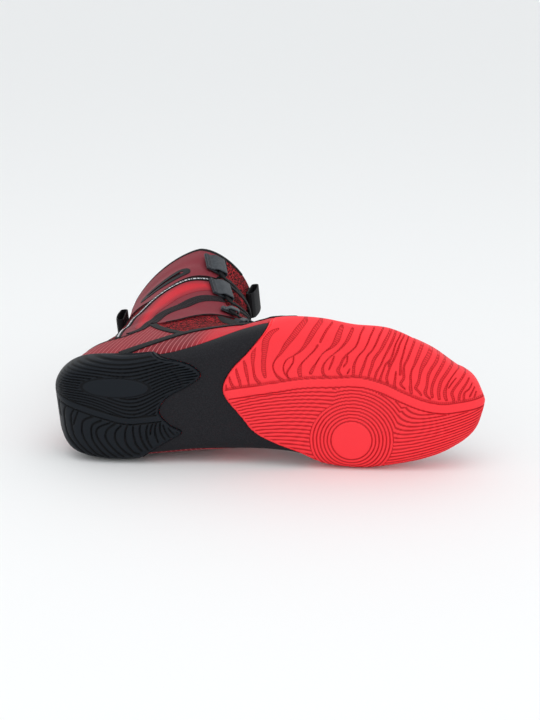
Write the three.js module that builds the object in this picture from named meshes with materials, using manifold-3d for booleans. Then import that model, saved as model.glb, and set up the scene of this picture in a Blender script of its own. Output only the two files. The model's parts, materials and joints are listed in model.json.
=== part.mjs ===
// A boxing shoe for the right foot: a knitted boot on a two-piece rubber sole, lying on its inner side.
// It is modelled standing, heel at x = 0, toes along +X, inner side +Y, and laid down at the end.
import * as THREE from 'three';
import Module from 'manifold-3d';
import { ConvexHull } from 'three/addons/math/ConvexHull.js';
import { mergeVertices } from 'three/addons/utils/BufferGeometryUtils.js';

const wasm = await Module();
wasm.setup();

// Driving sizes of the last, in millimetres
const footLength = 283;
const ballWidth = 96;
const instepHeight = 106;
const heelHeight = 64;
const shaftHeight = 250;

// Thicknesses
const upperWall = 2.4;
const panelThickness = 0.9;
const bandThickness = 0.8;
const soleRubber = 3.3;
const grooveDepth = 1;
const insoleThickness = 4;
const tongueThickness = 2.6;
const webbing = 1.1;
const laceThickness = 1.1;

// Widths and lengths of the small pieces
const laceWidth = 4.4;
const bandWidth = 8;
const treadBandWidth = 5.5;
const grooveWidth = 1.3;
const pivotRadius = 13.4;
const slotWidth = 5.5;
const bindingHeight = 4;
const pullWidth = 20;
const pullLength = 30;
const pullDepth = 6;
const tabWidth = 21;
const lowerTabWidth = 8.5;
const tabLoop = 10.5;
const tabTail = 7;
const lowerTabShare = 0.7;

// Heights and depths to which the tread grooves and the cuts from the front reach
const treadHeight = 19;
const frontDepth = 79;

// Clearances
const fitGap = 0.3;
const sideGap = 0.5;
const throatMargin = 1.5;

// How fine the facets are
const around = 26;
const flatness = 0.16;
const laceSteps = 4;
const ringSteps = 20;
const reach = 2 * ballWidth;

// The last, one row for each section from the toe tip to just over the collar.
// topX, soleX and the outline tables' first column are shares of the foot length.
// topZ and soleZ climb from 0 to 1 at the instep or heel height, and to 2 at the shaft height.
// ridge, inner and outer are shares of the ball width. flat and wide are shares of the half width
// and of the way from top to sole, crown and base are the roundness, rings the steps to the next row.
const lastRows = [
  // topX, topZ, soleX, soleZ, ridge, inner, outer, flat, wide, crown, base, rings
  [0.995, 0.170, 0.995, 0.281, 0.144, 0.144, 0.144, 0.50, 0.55, 2.20, 2.2, 1],
  [0.990, 0.198, 0.988, 0.234, 0.141, 0.208, 0.083, 0.50, 0.55, 2.20, 2.2, 1],
  [0.978, 0.283, 0.969, 0.172, 0.135, 0.318, -0.012, 0.65, 0.70, 2.30, 2.4, 2],
  [0.945, 0.358, 0.934, 0.125, 0.115, 0.394, -0.097, 0.75, 0.78, 2.20, 2.5, 2],
  [0.883, 0.415, 0.876, 0.086, 0.094, 0.461, -0.252, 0.80, 0.82, 2.00, 2.6, 2],
  [0.806, 0.462, 0.799, 0.059, 0.073, 0.494, -0.392, 0.84, 0.84, 1.90, 2.6, 1],
  [0.724, 0.519, 0.717, 0.048, 0.052, 0.505, -0.438, 0.84, 0.84, 1.85, 2.6, 2],
  [0.654, 0.594, 0.640, 0.048, 0.031, 0.471, -0.495, 0.84, 0.84, 1.80, 2.6, 2],
  [0.594, 0.708, 0.558, 0.059, 0.021, 0.398, -0.510, 0.82, 0.83, 1.75, 2.6, 1],
  [0.544, 0.849, 0.466, 0.081, 0.010, 0.367, -0.469, 0.78, 0.80, 1.75, 2.6, 1],
  [0.505, 1.000, 0.360, 0.084, 0.000, 0.362, -0.411, 0.76, 0.76, 1.80, 2.6, 1],
  [0.477, 1.104, 0.240, 0.062, 0.000, 0.365, -0.380, 0.76, 0.72, 1.85, 2.7, 1],
  [0.452, 1.194, 0.134, 0.050, 0.000, 0.365, -0.365, 0.74, 0.70, 1.90, 2.8, 2],
  [0.435, 1.278, 0.053, 0.102, 0.000, 0.356, -0.349, 0.60, 0.66, 1.95, 2.5, 2],
  [0.424, 1.354, 0.020, 0.297, 0.000, 0.344, -0.333, 0.40, 0.62, 2.00, 2.4, 1],
  [0.415, 1.431, 0.010, 0.594, 0.000, 0.328, -0.318, 0.20, 0.57, 2.00, 2.2, 1],
  [0.406, 1.514, 0.020, 1.000, 0.000, 0.328, -0.318, 0.00, 0.50, 2.00, 1.95, 1],
  [0.398, 1.611, 0.048, 1.177, 0.000, 0.354, -0.344, 0.00, 0.45, 1.90, 1.75, 1],
  [0.392, 1.715, 0.066, 1.366, 0.000, 0.396, -0.385, 0.00, 0.42, 1.78, 1.65, 1],
  [0.390, 1.812, 0.074, 1.538, 0.000, 0.438, -0.425, 0.00, 0.40, 1.68, 1.58, 1],
  [0.392, 1.910, 0.072, 1.704, 0.000, 0.469, -0.458, 0.00, 0.39, 1.62, 1.55, 1],
  [0.396, 2.000, 0.066, 1.860, 0.000, 0.490, -0.480, 0.00, 0.39, 1.62, 1.55, 1],
  [0.399, 2.097, 0.060, 1.946, 0.000, 0.505, -0.495, 0.00, 0.39, 1.62, 1.55, 1],
];
const topRow = lastRows.length - 1;
const collarRow = topRow - 1;

// Where the small lace tabs and the big ones of the shaft sit: row of the last, way round it, width, size
const laceStations = [
  // row, round, width, size
  [9.4, 0.068, lowerTabWidth, lowerTabShare],
  [11.9, 0.079, lowerTabWidth, lowerTabShare],
  [14.7, 0.093, lowerTabWidth, lowerTabShare],
  [17.35, 0.131, tabWidth, 1],
  [19.5, 0.165, tabWidth, 1],
];

// Outlines seen from the side: shares of the foot length and of the shaft height
const side = {
  foreRubberTop: [
    [0.353, 0.080], [0.530, 0.076], [0.636, 0.070], [0.777, 0.068],
    [0.883, 0.080], [0.947, 0.100], [0.993, 0.116], [1.060, 0.128],
  ],
  heelRubberTop: [
    [-0.035, 0.124], [0.028, 0.116], [0.071, 0.100], [0.110, 0.080],
    [0.155, 0.056], [0.201, 0.044], [0.233, 0.040], [0.406, 0.040],
  ],
  wrapTopOuter: [
    [0.150, 0.030], [0.283, 0.033], [0.336, 0.042], [0.389, 0.056],
    [0.452, 0.070], [0.505, 0.073], [0.545, 0.060], [0.671, 0.040],
  ],
  wrapTopInner: [
    [0.150, 0.018], [0.283, 0.020], [0.336, 0.024], [0.389, 0.032],
    [0.452, 0.048], [0.512, 0.062], [0.560, 0.056], [0.671, 0.040],
  ],
  counterTop: [[-0.035, 0.240], [0.071, 0.232], [0.138, 0.228], [0.170, 0.256], [0.208, 0.348]],
  counterFront: [[0.208, 0.348], [0.233, 0.296], [0.261, 0.240], [0.290, 0.192]],
  counterLow: [[0.290, 0.192], [0.269, 0.136], [0.219, 0.080], [0.150, 0.030], [-0.035, 0.010]],
  panelLow: [
    [0.190, 0.000], [0.283, 0.000], [0.452, 0.030], [0.565, 0.060],
  ],
  panelTop: [
    [0.565, 0.081], [0.530, 0.132], [0.466, 0.180], [0.396, 0.196],
    [0.339, 0.184], [0.293, 0.152], [0.254, 0.112], [0.190, 0.040],
  ],
  bandLine: [
    [0.177, 0.056], [0.212, 0.086], [0.261, 0.132], [0.304, 0.172], [0.346, 0.198],
    [0.396, 0.210], [0.452, 0.198], [0.502, 0.172], [0.548, 0.132], [0.580, 0.096],
  ],
  branchLine: [[0.212, 0.348], [0.233, 0.300], [0.258, 0.252], [0.283, 0.212], [0.311, 0.178]],
  strapTop: [[0.212, 0.372], [0.224, 0.460], [0.258, 0.536], [0.302, 0.624], [0.350, 0.684]],
  strapFront: [[0.350, 0.684], [0.382, 0.632], [0.396, 0.580]],
  strapLow: [[0.396, 0.580], [0.353, 0.536], [0.311, 0.488], [0.272, 0.432], [0.240, 0.380]],
  lowWingTop: [
    [0.141, 0.236], [0.136, 0.320], [0.141, 0.432], [0.155, 0.528],
    [0.177, 0.608], [0.205, 0.660], [0.247, 0.712], [0.300, 0.764], [0.329, 0.788],
  ],
  lowWingFront: [[0.329, 0.788], [0.346, 0.752], [0.345, 0.692]],
  lowWingLow: [
    [0.345, 0.692], [0.297, 0.636], [0.251, 0.544], [0.219, 0.472],
    [0.198, 0.388], [0.189, 0.300], [0.163, 0.262],
  ],
  highWingLow: [
    [-0.035, 0.668], [0.071, 0.664], [0.117, 0.652], [0.155, 0.624],
    [0.177, 0.632], [0.205, 0.680], [0.247, 0.732], [0.297, 0.782], [0.322, 0.804],
  ],
  highWingFront: [[0.322, 0.804], [0.332, 0.860], [0.336, 0.920], [0.332, 0.972]],
  highWingTop: [[0.332, 0.972], [0.247, 0.946], [0.141, 0.912], [0.042, 0.880], [-0.035, 0.856]],
  slotLine: [[0.152, 0.720], [0.190, 0.745], [0.233, 0.784]],
};

// Outlines seen from below: shares of the foot length and of the ball width
const plan = {
  foreRubberBack: [
    [0.537, -0.542], [0.516, -0.469], [0.477, -0.349], [0.435, -0.234],
    [0.412, -0.125], [0.415, -0.036],
    [0.445, 0.099], [0.473, 0.219], [0.519, 0.307], [0.583, 0.401], [0.643, 0.552],
  ],
  heelRubberFront: [
    [0.233, -0.438], [0.269, -0.359], [0.311, -0.323], [0.343, -0.281], [0.361, -0.208],
    [0.329, -0.141], [0.279, -0.073], [0.255, 0.026], [0.276, 0.130], [0.302, 0.188],
    [0.272, 0.236], [0.219, 0.323], [0.173, 0.448],
  ],
  foreBandLine: [
    [0.417, -0.062], [0.523, -0.094], [0.594, -0.115], [0.664, -0.109],
    [0.724, -0.099], [0.774, -0.047], [0.816, 0.026], [0.862, 0.099],
    [0.908, 0.141], [0.954, 0.144], [1.040, 0.141],
  ],
  heelBandLine: [
    [-0.050, -0.120], [0.014, -0.104], [0.064, -0.052],
    [0.127, 0.021], [0.184, 0.073], [0.269, 0.068],
  ],
  pivot: [0.696, 0.312],
};

// Outlines seen from the front: shares of the shaft height, and of the ball width to each side
const front = {
  throat: [
    [0.322, 0.000], [0.326, 0.075], [0.350, 0.115], [0.440, 0.135],
    [0.680, 0.177], [1.000, 0.229], [1.200, 0.250],
  ],
  eyestay: [[0.268, 0.000], [0.276, 0.130], [0.320, 0.205], [0.400, 0.232], [0.520, 0.245]],
  tongue: [
    [0.236, 0.000], [0.244, 0.160], [0.300, 0.225], [0.400, 0.250],
    [0.680, 0.292], [0.985, 0.333], [1.040, 0.260], [1.052, 0.000],
  ],
};

// Sections of the last
function climb(share, knee) {
  return share < 1 ? share * knee : knee + (share - 1) * (shaftHeight - knee);
}

const sections = lastRows.map(
  ([topX, topZ, soleX, soleZ, ridge, inner, outer, flat, wide, crown, base]) => [
    topX * footLength, climb(topZ, instepHeight), soleX * footLength, climb(soleZ, heelHeight),
    ridge * ballWidth, inner * ballWidth, outer * ballWidth, flat, wide, crown, base,
  ],
);

function between(before, start, end, after, share) {
  const bend = 2 * before - 5 * start + 4 * end - after;
  const twist = 3 * start - before - 3 * end + after;
  return start + 0.5 * share * (end - before + share * (bend + share * twist));
}

function sectionAt(row) {
  const start = Math.min(Math.max(Math.floor(row), 0), topRow - 1);
  const rowOf = (index) => sections[Math.min(Math.max(index, 0), topRow)];
  const [a, b, c, d] = [start - 1, start, start + 1, start + 2].map(rowOf);
  return b.map((_, column) => between(a[column], b[column], c[column], d[column], row - start));
}

// A point of the last: round runs from 0 at the top over the outer side, 0.5 under the sole, to 1
function lastPoint(row, round) {
  const [topX, topZ, soleX, soleZ, ridge, inner, outer, flat, wide, crown, base] = sectionAt(row);
  const turn = round - Math.floor(round);
  const edge = turn < 0.5 ? outer : inner;
  const down = turn < 0.5 ? 2 * turn : 2 - 2 * turn;
  const flatShare = 0.24 * Math.min(1, Math.max(0, flat));
  const middle = (inner + outer) / 2;
  let y;
  let drop;
  if (down < 0.5) {
    const angle = Math.PI * down;
    y = ridge + (edge - ridge) * Math.sin(angle) ** (2 / crown);
    drop = wide * (1 - Math.cos(angle) ** (2 / crown));
  } else if (down < 1 - flatShare) {
    const angle = (Math.PI / 2) * ((down - 0.5) / (0.5 - flatShare));
    const spread = Math.max(Math.cos(angle), 0) ** (2 / base);
    y = middle + (edge - middle) * (flat + (1 - flat) * spread);
    drop = wide + (1 - wide) * Math.sin(angle) ** (2 / base);
  } else {
    y = middle + (edge - middle) * flat * ((1 - down) / Math.max(flatShare, 1e-6));
    drop = 1;
  }
  return new THREE.Vector3(topX + (soleX - topX) * drop, y, topZ + (soleZ - topZ) * drop);
}

function lastFrame(row, round) {
  const step = 0.004;
  const low = Math.max(row - 10 * step, 0);
  const high = Math.min(row + 10 * step, topRow);
  const up = lastPoint(high, round).sub(lastPoint(low, round)).normalize();
  const outward = lastPoint(row, round + step).sub(lastPoint(row, round - step)).normalize();
  const normal = up.clone().cross(outward).normalize();
  return { up, normal };
}

function skin(row, round, offset) {
  const { normal } = lastFrame(row, round);
  return lastPoint(row, round).addScaledVector(normal, offset);
}

// Solids from points, and from three.js geometry
function solidOf(points, faces) {
  const vertProperties = new Float32Array(points.flatMap((point) => point.toArray()));
  const triVerts = new Uint32Array(faces.flat());
  return new wasm.Manifold(new wasm.Mesh({ numProp: 3, vertProperties, triVerts }));
}

function solidFrom(geometry) {
  geometry.deleteAttribute('normal');
  geometry.deleteAttribute('uv');
  const { index, attributes } = mergeVertices(geometry, 1e-4);
  const vertProperties = new Float32Array(attributes.position.array);
  const triVerts = new Uint32Array(index.array);
  return new wasm.Manifold(new wasm.Mesh({ numProp: 3, vertProperties, triVerts }));
}

function ringRows(highest) {
  const rows = [];
  lastRows.forEach((row, index) => {
    const rings = row[row.length - 1];
    for (let ring = 0; ring < rings; ring += 1) {
      rows.push(index + ring / rings);
    }
  });
  return rows.filter((row) => row > 0 && row < highest).concat(highest);
}

// The whole last, closed at toe and top, grown or shrunk by an offset
function form(offset, highest = topRow) {
  const rows = ringRows(highest);
  const points = [lastPoint(0, 0).add(new THREE.Vector3(offset, 0, 0))];
  const lid = new THREE.Vector3();
  for (const row of rows) {
    for (let step = 0; step < around; step += 1) {
      points.push(skin(row, step / around, offset));
    }
  }
  for (let step = 0; step < around; step += 1) {
    lid.add(points[points.length - 1 - step]);
  }
  points.push(lid.divideScalar(around));
  const at = (ring, step) => 1 + ring * around + (step % around);
  const last = rows.length - 1;
  const faces = [];
  for (let step = 0; step < around; step += 1) {
    faces.push([0, at(0, step), at(0, step + 1)]);
    faces.push([at(last, step), points.length - 1, at(last, step + 1)]);
    for (let ring = 0; ring < last; ring += 1) {
      faces.push([at(ring, step), at(ring + 1, step), at(ring + 1, step + 1)]);
      faces.push([at(ring, step), at(ring + 1, step + 1), at(ring, step + 1)]);
    }
  }
  return solidOf(points, faces);
}

function without(solid, others) {
  return others.reduce((rest, other) => rest.subtract(other), solid);
}

function layer(inside, outside) {
  return form(outside).subtract(form(inside));
}

// Cutters: an outline pushed through the shoe from the side, from below or from the front
const axes = {
  x: new THREE.Vector3(1, 0, 0),
  y: new THREE.Vector3(0, 1, 0),
  z: new THREE.Vector3(0, 0, 1),
};
const views = {
  side: new THREE.Matrix4().makeBasis(axes.x, axes.z, axes.y.clone().negate()),
  plan: new THREE.Matrix4().makeBasis(axes.x, axes.y, axes.z),
  front: new THREE.Matrix4().makeBasis(axes.y, axes.z, axes.x),
};

function cutter(view, outline, near, far) {
  const shape = new THREE.Shape(outline);
  const geometry = new THREE.ExtrudeGeometry(shape, { depth: far - near, bevelEnabled: false });
  geometry.translate(0, 0, near);
  return solidFrom(geometry.applyMatrix4(views[view]));
}

const sized = {
  side: ([along, up]) => new THREE.Vector2(along * footLength, up * shaftHeight),
  plan: ([along, across]) => new THREE.Vector2(along * footLength, across * ballWidth),
  front: ([up, across]) => new THREE.Vector2(across * ballWidth, up * shaftHeight),
};

// A smooth run of points through one row of a table
function edge(view, points, perPoint = 2) {
  return new THREE.SplineCurve(points.map(sized[view])).getPoints(perPoint * (points.length - 1));
}

// Each point of an outline or line moved sideways, positive to the right of its run
function moved(points, by, closed) {
  const count = points.length;
  const clamp = (index) => Math.min(Math.max(index, 0), count - 1);
  const wrap = (index) => (closed ? (index + count) % count : clamp(index));
  return points.map((point, index) => {
    const run = points[wrap(index + 1)].clone().sub(points[wrap(index - 1)]).normalize();
    return new THREE.Vector2(point.x + run.y * by, point.y - run.x * by);
  });
}

function grown(outline, by) {
  const turns = THREE.ShapeUtils.isClockWise(outline) ? -1 : 1;
  return moved(outline, turns * by, true);
}

function ribbon(line, width) {
  return [...moved(line, width / 2, false), ...moved(line, -width / 2, false).reverse()];
}

function below(line) {
  const floor = -reach;
  const [first, last] = [line[0], line[line.length - 1]];
  return [new THREE.Vector2(first.x, floor), new THREE.Vector2(last.x, floor), ...line.slice().reverse()];
}

const halves = {
  outer: { near: 0, far: reach },
  inner: { near: -reach, far: 0 },
};

function sideCutter(outline, half) {
  const { near, far } = half ? halves[half] : { near: -reach, far: reach };
  return cutter('side', outline, near, far);
}

function frontCutter(halfOutline, grow = 0) {
  const right = edge('front', halfOutline);
  const left = right.map(({ x, y }) => new THREE.Vector2(-x, y)).reverse();
  const outline = [...right, ...left].filter((point, index, all) => {
    return index === 0 || point.distanceTo(all[index - 1]) > 1e-6;
  });
  if (outline[0].distanceTo(outline[outline.length - 1]) < 1e-6) outline.pop();
  return cutter('front', grown(outline, grow), frontDepth, footLength);
}

// Regions of the two rubber soles, with a grown copy where a neighbour keeps clear of them
function foreSoleRegion(grow = 0) {
  const back = edge('plan', plan.foreRubberBack);
  const right = footLength + reach;
  const outline = [
    new THREE.Vector2(back[0].x, -reach), ...back,
    new THREE.Vector2(back[back.length - 1].x, reach), new THREE.Vector2(right, reach),
    new THREE.Vector2(right, -reach),
  ];
  const top = below(edge('side', side.foreRubberTop));
  return cutter('plan', grown(outline, grow), -reach, reach).intersect(sideCutter(grown(top, grow)));
}

function heelSoleRegion(grow = 0) {
  const nose = edge('plan', plan.heelRubberFront);
  const outline = [
    new THREE.Vector2(nose[0].x, -reach), ...nose,
    new THREE.Vector2(nose[nose.length - 1].x, reach), new THREE.Vector2(-reach, reach),
    new THREE.Vector2(-reach, -reach),
  ];
  const top = below(edge('side', side.heelRubberTop));
  return cutter('plan', grown(outline, grow), -reach, reach).intersect(sideCutter(grown(top, grow)));
}

// The offsets where each layer starts and ends, outward from the last
const panelLayer = [fitGap, fitGap + panelThickness];
const bandLayer = [panelLayer[1] + fitGap, panelLayer[1] + fitGap + bandThickness];
const rubberLayer = [fitGap, fitGap + soleRubber];
const tongueLayer = [-upperWall - fitGap - tongueThickness, -upperWall - fitGap];

// Main pieces
function makeUpper() {
  const boot = form(0, collarRow).subtract(form(-upperWall));
  return boot.subtract(frontCutter(front.throat));
}

function makeTongue() {
  return layer(...tongueLayer).intersect(frontCutter(front.tongue));
}

function makeInsole() {
  const top = [2, 3, 4, 5, 6, 7, 8, 9, 10, 11, 12, 13].map((row) => {
    const [, , soleX, soleZ] = sections[row];
    return new THREE.Vector2(soleX, soleZ + upperWall + fitGap + insoleThickness);
  });
  const toe = new THREE.Vector2(footLength, top[0].y);
  const heel = new THREE.Vector2(0, top[top.length - 1].y);
  return form(-upperWall - fitGap).intersect(sideCutter(below([heel, ...top.reverse(), toe])));
}

function grooves(outline) {
  return cutter('plan', outline, -reach, treadHeight).subtract(form(rubberLayer[1] - grooveDepth));
}

function treadBandGrooves(line) {
  const centre = edge('plan', line, 1);
  const shift = (treadBandWidth + grooveWidth) / 2;
  const one = grooves(ribbon(moved(centre, shift, false), grooveWidth));
  const other = grooves(ribbon(moved(centre, -shift, false), grooveWidth));
  return one.add(other);
}

function ringGroove(radius) {
  const { x, y } = sized.plan(plan.pivot);
  const circle = (size) => {
    const points = new THREE.EllipseCurve(x, y, size, size).getPoints(ringSteps);
    return points.slice(0, -1);
  };
  return grooves(circle(radius + grooveWidth)).subtract(cutter('plan', circle(radius), -reach, reach));
}

function aboveGround(solid) {
  return solid.trimByPlane([0, 0, 1], 0);
}

function makeForeSole() {
  const rubber = aboveGround(layer(...rubberLayer).intersect(foreSoleRegion()));
  const bandCuts = treadBandGrooves(plan.foreBandLine);
  return rubber.subtract(bandCuts).subtract(ringGroove(pivotRadius));
}

function makeHeelSole() {
  const rubber = aboveGround(layer(...rubberLayer).intersect(heelSoleRegion()));
  return rubber.subtract(treadBandGrooves(plan.heelBandLine));
}

// Panels and bands that lie on the upper
function wrapRegion(grow = 0) {
  const parts = [['outer', side.wrapTopOuter], ['inner', side.wrapTopInner]].map(([half, line]) => {
    return sideCutter(grown(below(edge('side', line)), grow), half);
  });
  return parts[0].add(parts[1]);
}

function makeWrap() {
  const soles = foreSoleRegion(sideGap).add(heelSoleRegion(sideGap));
  return layer(...panelLayer).intersect(wrapRegion()).subtract(soles);
}

function counterOutline(grow = 0) {
  const outline = [
    ...edge('side', side.counterTop), ...edge('side', side.counterFront).slice(1),
    ...edge('side', side.counterLow).slice(1),
  ];
  return grown(outline, grow);
}

function makeCounter() {
  const cover = layer(...panelLayer).intersect(sideCutter(counterOutline()));
  return without(cover, [heelSoleRegion(sideGap), wrapRegion(sideGap)]);
}

function makeSidePanel(half) {
  const outline = [...edge('side', side.panelTop), ...edge('side', side.panelLow)];
  const cover = layer(...panelLayer).intersect(sideCutter(outline, half));
  const neighbours = [
    foreSoleRegion(sideGap), heelSoleRegion(sideGap),
    wrapRegion(sideGap), sideCutter(counterOutline(sideGap)),
  ];
  return without(cover, neighbours);
}

function makeSideBand(half) {
  const main = sideCutter(ribbon(edge('side', side.bandLine), bandWidth), half);
  const branch = sideCutter(ribbon(edge('side', side.branchLine), bandWidth), half);
  const soles = foreSoleRegion(sideGap).add(heelSoleRegion(sideGap));
  return layer(...bandLayer).intersect(main.add(branch)).subtract(soles);
}

function outlineOf(...names) {
  return names.flatMap((name, index) => edge('side', side[name]).slice(index === 0 ? 0 : 1));
}

function lowWingOutline(grow = 0) {
  return grown(outlineOf('lowWingTop', 'lowWingFront', 'lowWingLow'), grow);
}

function makeStrap(half) {
  const region = sideCutter(outlineOf('strapTop', 'strapFront', 'strapLow'), half);
  const neighbours = [
    sideCutter(lowWingOutline(sideGap)), sideCutter(counterOutline(sideGap)),
    frontCutter(front.eyestay, sideGap), frontCutter(front.throat, throatMargin),
  ];
  return without(layer(...panelLayer).intersect(region), neighbours);
}

function makeLowWing(half) {
  const cover = layer(...panelLayer).intersect(sideCutter(lowWingOutline(), half));
  return without(cover, [sideCutter(counterOutline(sideGap))]);
}

function makeHighWing() {
  const cover = layer(...panelLayer).intersect(
    sideCutter(outlineOf('highWingLow', 'highWingFront', 'highWingTop')),
  );
  const slot = sideCutter(ribbon(edge('side', side.slotLine), slotWidth));
  return without(cover, [sideCutter(lowWingOutline(sideGap)), slot]);
}

function makeEyestay() {
  const cover = layer(...panelLayer).intersect(frontCutter(front.eyestay));
  return cover.subtract(frontCutter(front.throat, sideGap));
}

// The binding over the collar's edge, a ring swept round the last from a profile of row and offset
function makeBinding() {
  const rowHeight = lastPoint(topRow, 0.25).distanceTo(lastPoint(collarRow, 0.25));
  const rise = (millimetres) => collarRow + millimetres / rowHeight;
  const profile = [
    [rise(fitGap), -upperWall], [rise(fitGap), 0.6], [rise(bindingHeight * 0.6), 0.9],
    [rise(bindingHeight), -upperWall / 2], [rise(bindingHeight * 0.6), -upperWall],
  ];
  const points = profile.flatMap(([row, offset]) => {
    return Array.from({ length: around }, (_, step) => skin(row, step / around, offset));
  });
  const faces = [];
  profile.forEach((_, line) => {
    const next = (line + 1) % profile.length;
    for (let step = 0; step < around; step += 1) {
      const [a, b] = [line * around + step, next * around + step];
      const [c, d] = [next * around + ((step + 1) % around), line * around + ((step + 1) % around)];
      faces.push([a, b, c], [a, c, d]);
    }
  });
  return solidOf(points, faces).subtract(frontCutter(front.throat));
}

// Lace tabs: a folded strip of webbing, its loop towards the throat and its tail on the panel
const tabFoot = panelLayer[1] + sideGap;
const tabHole = laceThickness + 4 * fitGap;
const tabHeight = tabHole + 2 * webbing;
const laceLift = tabFoot + tabHeight / 2;
const laceRest = panelLayer[1] + sideGap + laceThickness / 2;

// Between two tabs the lace crosses on the middle part of the way, and its bar lies under the first tabs
const crossingStartShare = 0.32;
const crossingRunShare = 0.36;
const barDropShare = 0.7;

function rounded(left, right, low, high, steps) {
  const radius = (high - low) / 2;
  const middle = (high + low) / 2;
  const arc = (x, start) => {
    return new THREE.EllipseCurve(x, middle, radius, radius, start, start + Math.PI).getPoints(steps);
  };
  return [...arc(right - radius, -Math.PI / 2), ...arc(left + radius, Math.PI / 2)];
}

// The frame of a small piece on the last: sideways away from the throat, outward, and up the shoe
function placeOn(row, round) {
  const { up, normal } = lastFrame(row, round);
  const away = up.clone().cross(normal).normalize().multiplyScalar(round < 0.5 ? -1 : 1);
  const along = away.clone().cross(normal).normalize();
  return new THREE.Matrix4().makeBasis(away, normal, along).setPosition(lastPoint(row, round));
}

function makeTab(row, round, depth, size) {
  const half = (tabLoop * (1 + size)) / 4;
  const floor = tabFoot + webbing;
  const extrude = (points) => {
    return solidFrom(new THREE.ExtrudeGeometry(new THREE.Shape(points), { depth, bevelEnabled: false }));
  };
  const loop = extrude(rounded(-half, half, tabFoot, tabFoot + tabHeight, 3));
  const hole = extrude(rounded(-half + webbing, half - webbing, floor, floor + tabHole, 2));
  const tail = new THREE.BoxGeometry(tabTail * size + half, webbing, depth);
  tail.translate((tabTail * size + half) / 2, tabFoot + webbing / 2, depth / 2);
  const place = placeOn(row, round).multiply(new THREE.Matrix4().makeTranslation(0, 0, -depth / 2));
  return loop.add(solidFrom(tail)).subtract(hole).transform(place.elements);
}

// The lace, a flat strip that runs up through each tab and crosses to the other side's next tab
function strip(points, normals, width, thickness) {
  const corners = [[-1, -1], [1, -1], [1, 1], [-1, 1]];
  const rings = points.flatMap((point, index) => {
    const before = points[Math.max(index - 1, 0)];
    const after = points[Math.min(index + 1, points.length - 1)];
    const run = after.clone().sub(before).normalize();
    const across = run.clone().cross(normals[index]).normalize();
    const outward = across.clone().cross(run).normalize();
    return corners.map(([side, lift]) => {
      const corner = point.clone().addScaledVector(across, (side * width) / 2);
      return corner.addScaledVector(outward, (lift * thickness) / 2);
    });
  });
  const faces = [[0, 1, 2], [0, 2, 3]];
  const end = rings.length - 4;
  faces.push([end, end + 2, end + 1], [end, end + 3, end + 2]);
  for (let start = 0; start < end; start += 4) {
    for (let corner = 0; corner < 4; corner += 1) {
      const next = (corner + 1) % 4;
      faces.push([start + corner, start + 4 + next, start + next]);
      faces.push([start + corner, start + 4 + corner, start + 4 + next]);
    }
  }
  return solidOf(rings, faces);
}

// The lace's two points beside a tab, the lower one first
function throughTab(place, half) {
  const ends = [-half, half].map((along) => new THREE.Vector3(0, laceLift, along).applyMatrix4(place));
  return ends[0].z < ends[1].z ? ends : ends.reverse();
}

// One lace from its lowest tab up, on the outer side first where start is 0, else on the inner side
function lacePath(start) {
  const points = [];
  const normals = [];
  const put = (point, normal) => {
    points.push(point);
    normals.push(normal);
  };
  laceStations.forEach(([row, round, width], index) => {
    const sign = (index + start) % 2 === 0 ? 1 : -1;
    const place = placeOn(row, sign > 0 ? round : 1 - round);
    const { normal } = lastFrame(row, sign * round);
    const half = width * 0.5 + laceWidth * 0.6;
    throughTab(place, half).forEach((end) => put(end, normal));
    if (index === laceStations.length - 1) {
      return;
    }
    const [nextRow, nextRound] = laceStations[index + 1];
    const steps = laceSteps + Math.floor(index / 2);
    for (let step = 1; step < steps; step += 1) {
      const share = step / steps;
      const up = row + (nextRow - row) * (crossingStartShare + crossingRunShare * share);
      const way = sign * (round - (round + nextRound) * share);
      put(skin(up, way, laceRest), lastFrame(up, way).normal);
    }
  });
  return strip(points, normals, laceWidth, laceThickness);
}

function makeLaces() {
  const [row, round, width] = laceStations[0];
  const half = (width + laceWidth) / 2;
  const [left, right] = [round, 1 - round].map((way) => throughTab(placeOn(row, way), half)[0]);
  const low = row - barDropShare;
  const ways = [0.6, 0.2, -0.2, -0.6].map((share) => share * round);
  const bar = [left, ...ways.map((way) => skin(low, way, laceRest)), right];
  const barNormals = [round, ...ways, -round].map((way) => lastFrame(low, way).normal);
  return lacePath(0).add(lacePath(1)).add(strip(bar, barNormals, laceWidth, laceThickness));
}

// Pull loops of tape, at the back of the shaft and on top of the tongue
function pullLoop(foot, upward, outward) {
  const radius = pullDepth / 2;
  const outer = rounded(0, pullLength, 0, pullDepth, 5);
  const inner = rounded(webbing, pullLength - webbing, webbing, pullDepth - webbing, 4);
  const shape = new THREE.Shape(outer);
  shape.holes.push(new THREE.Path(inner));
  const geometry = new THREE.ExtrudeGeometry(shape, { depth: pullWidth, bevelEnabled: false });
  geometry.translate(-radius, 0, -pullWidth / 2);
  const across = upward.clone().cross(outward).normalize();
  const place = new THREE.Matrix4().makeBasis(upward, outward, across).setPosition(foot);
  return solidFrom(geometry.applyMatrix4(place));
}

function makeHeelPull() {
  const row = collarRow - 1.1;
  const { up, normal } = lastFrame(row, 0.5);
  return pullLoop(skin(row, 0.5, panelLayer[1] + 2 * fitGap), up, normal);
}

function makeTonguePull() {
  const row = collarRow - 0.9;
  const { up, normal } = lastFrame(row, 0);
  return pullLoop(skin(row, 0, tongueLayer[1] + fitGap), up, normal);
}

// Materials
function finish(color, roughness, metalness = 0) {
  return new THREE.MeshStandardMaterial({ color, roughness, metalness });
}

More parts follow.
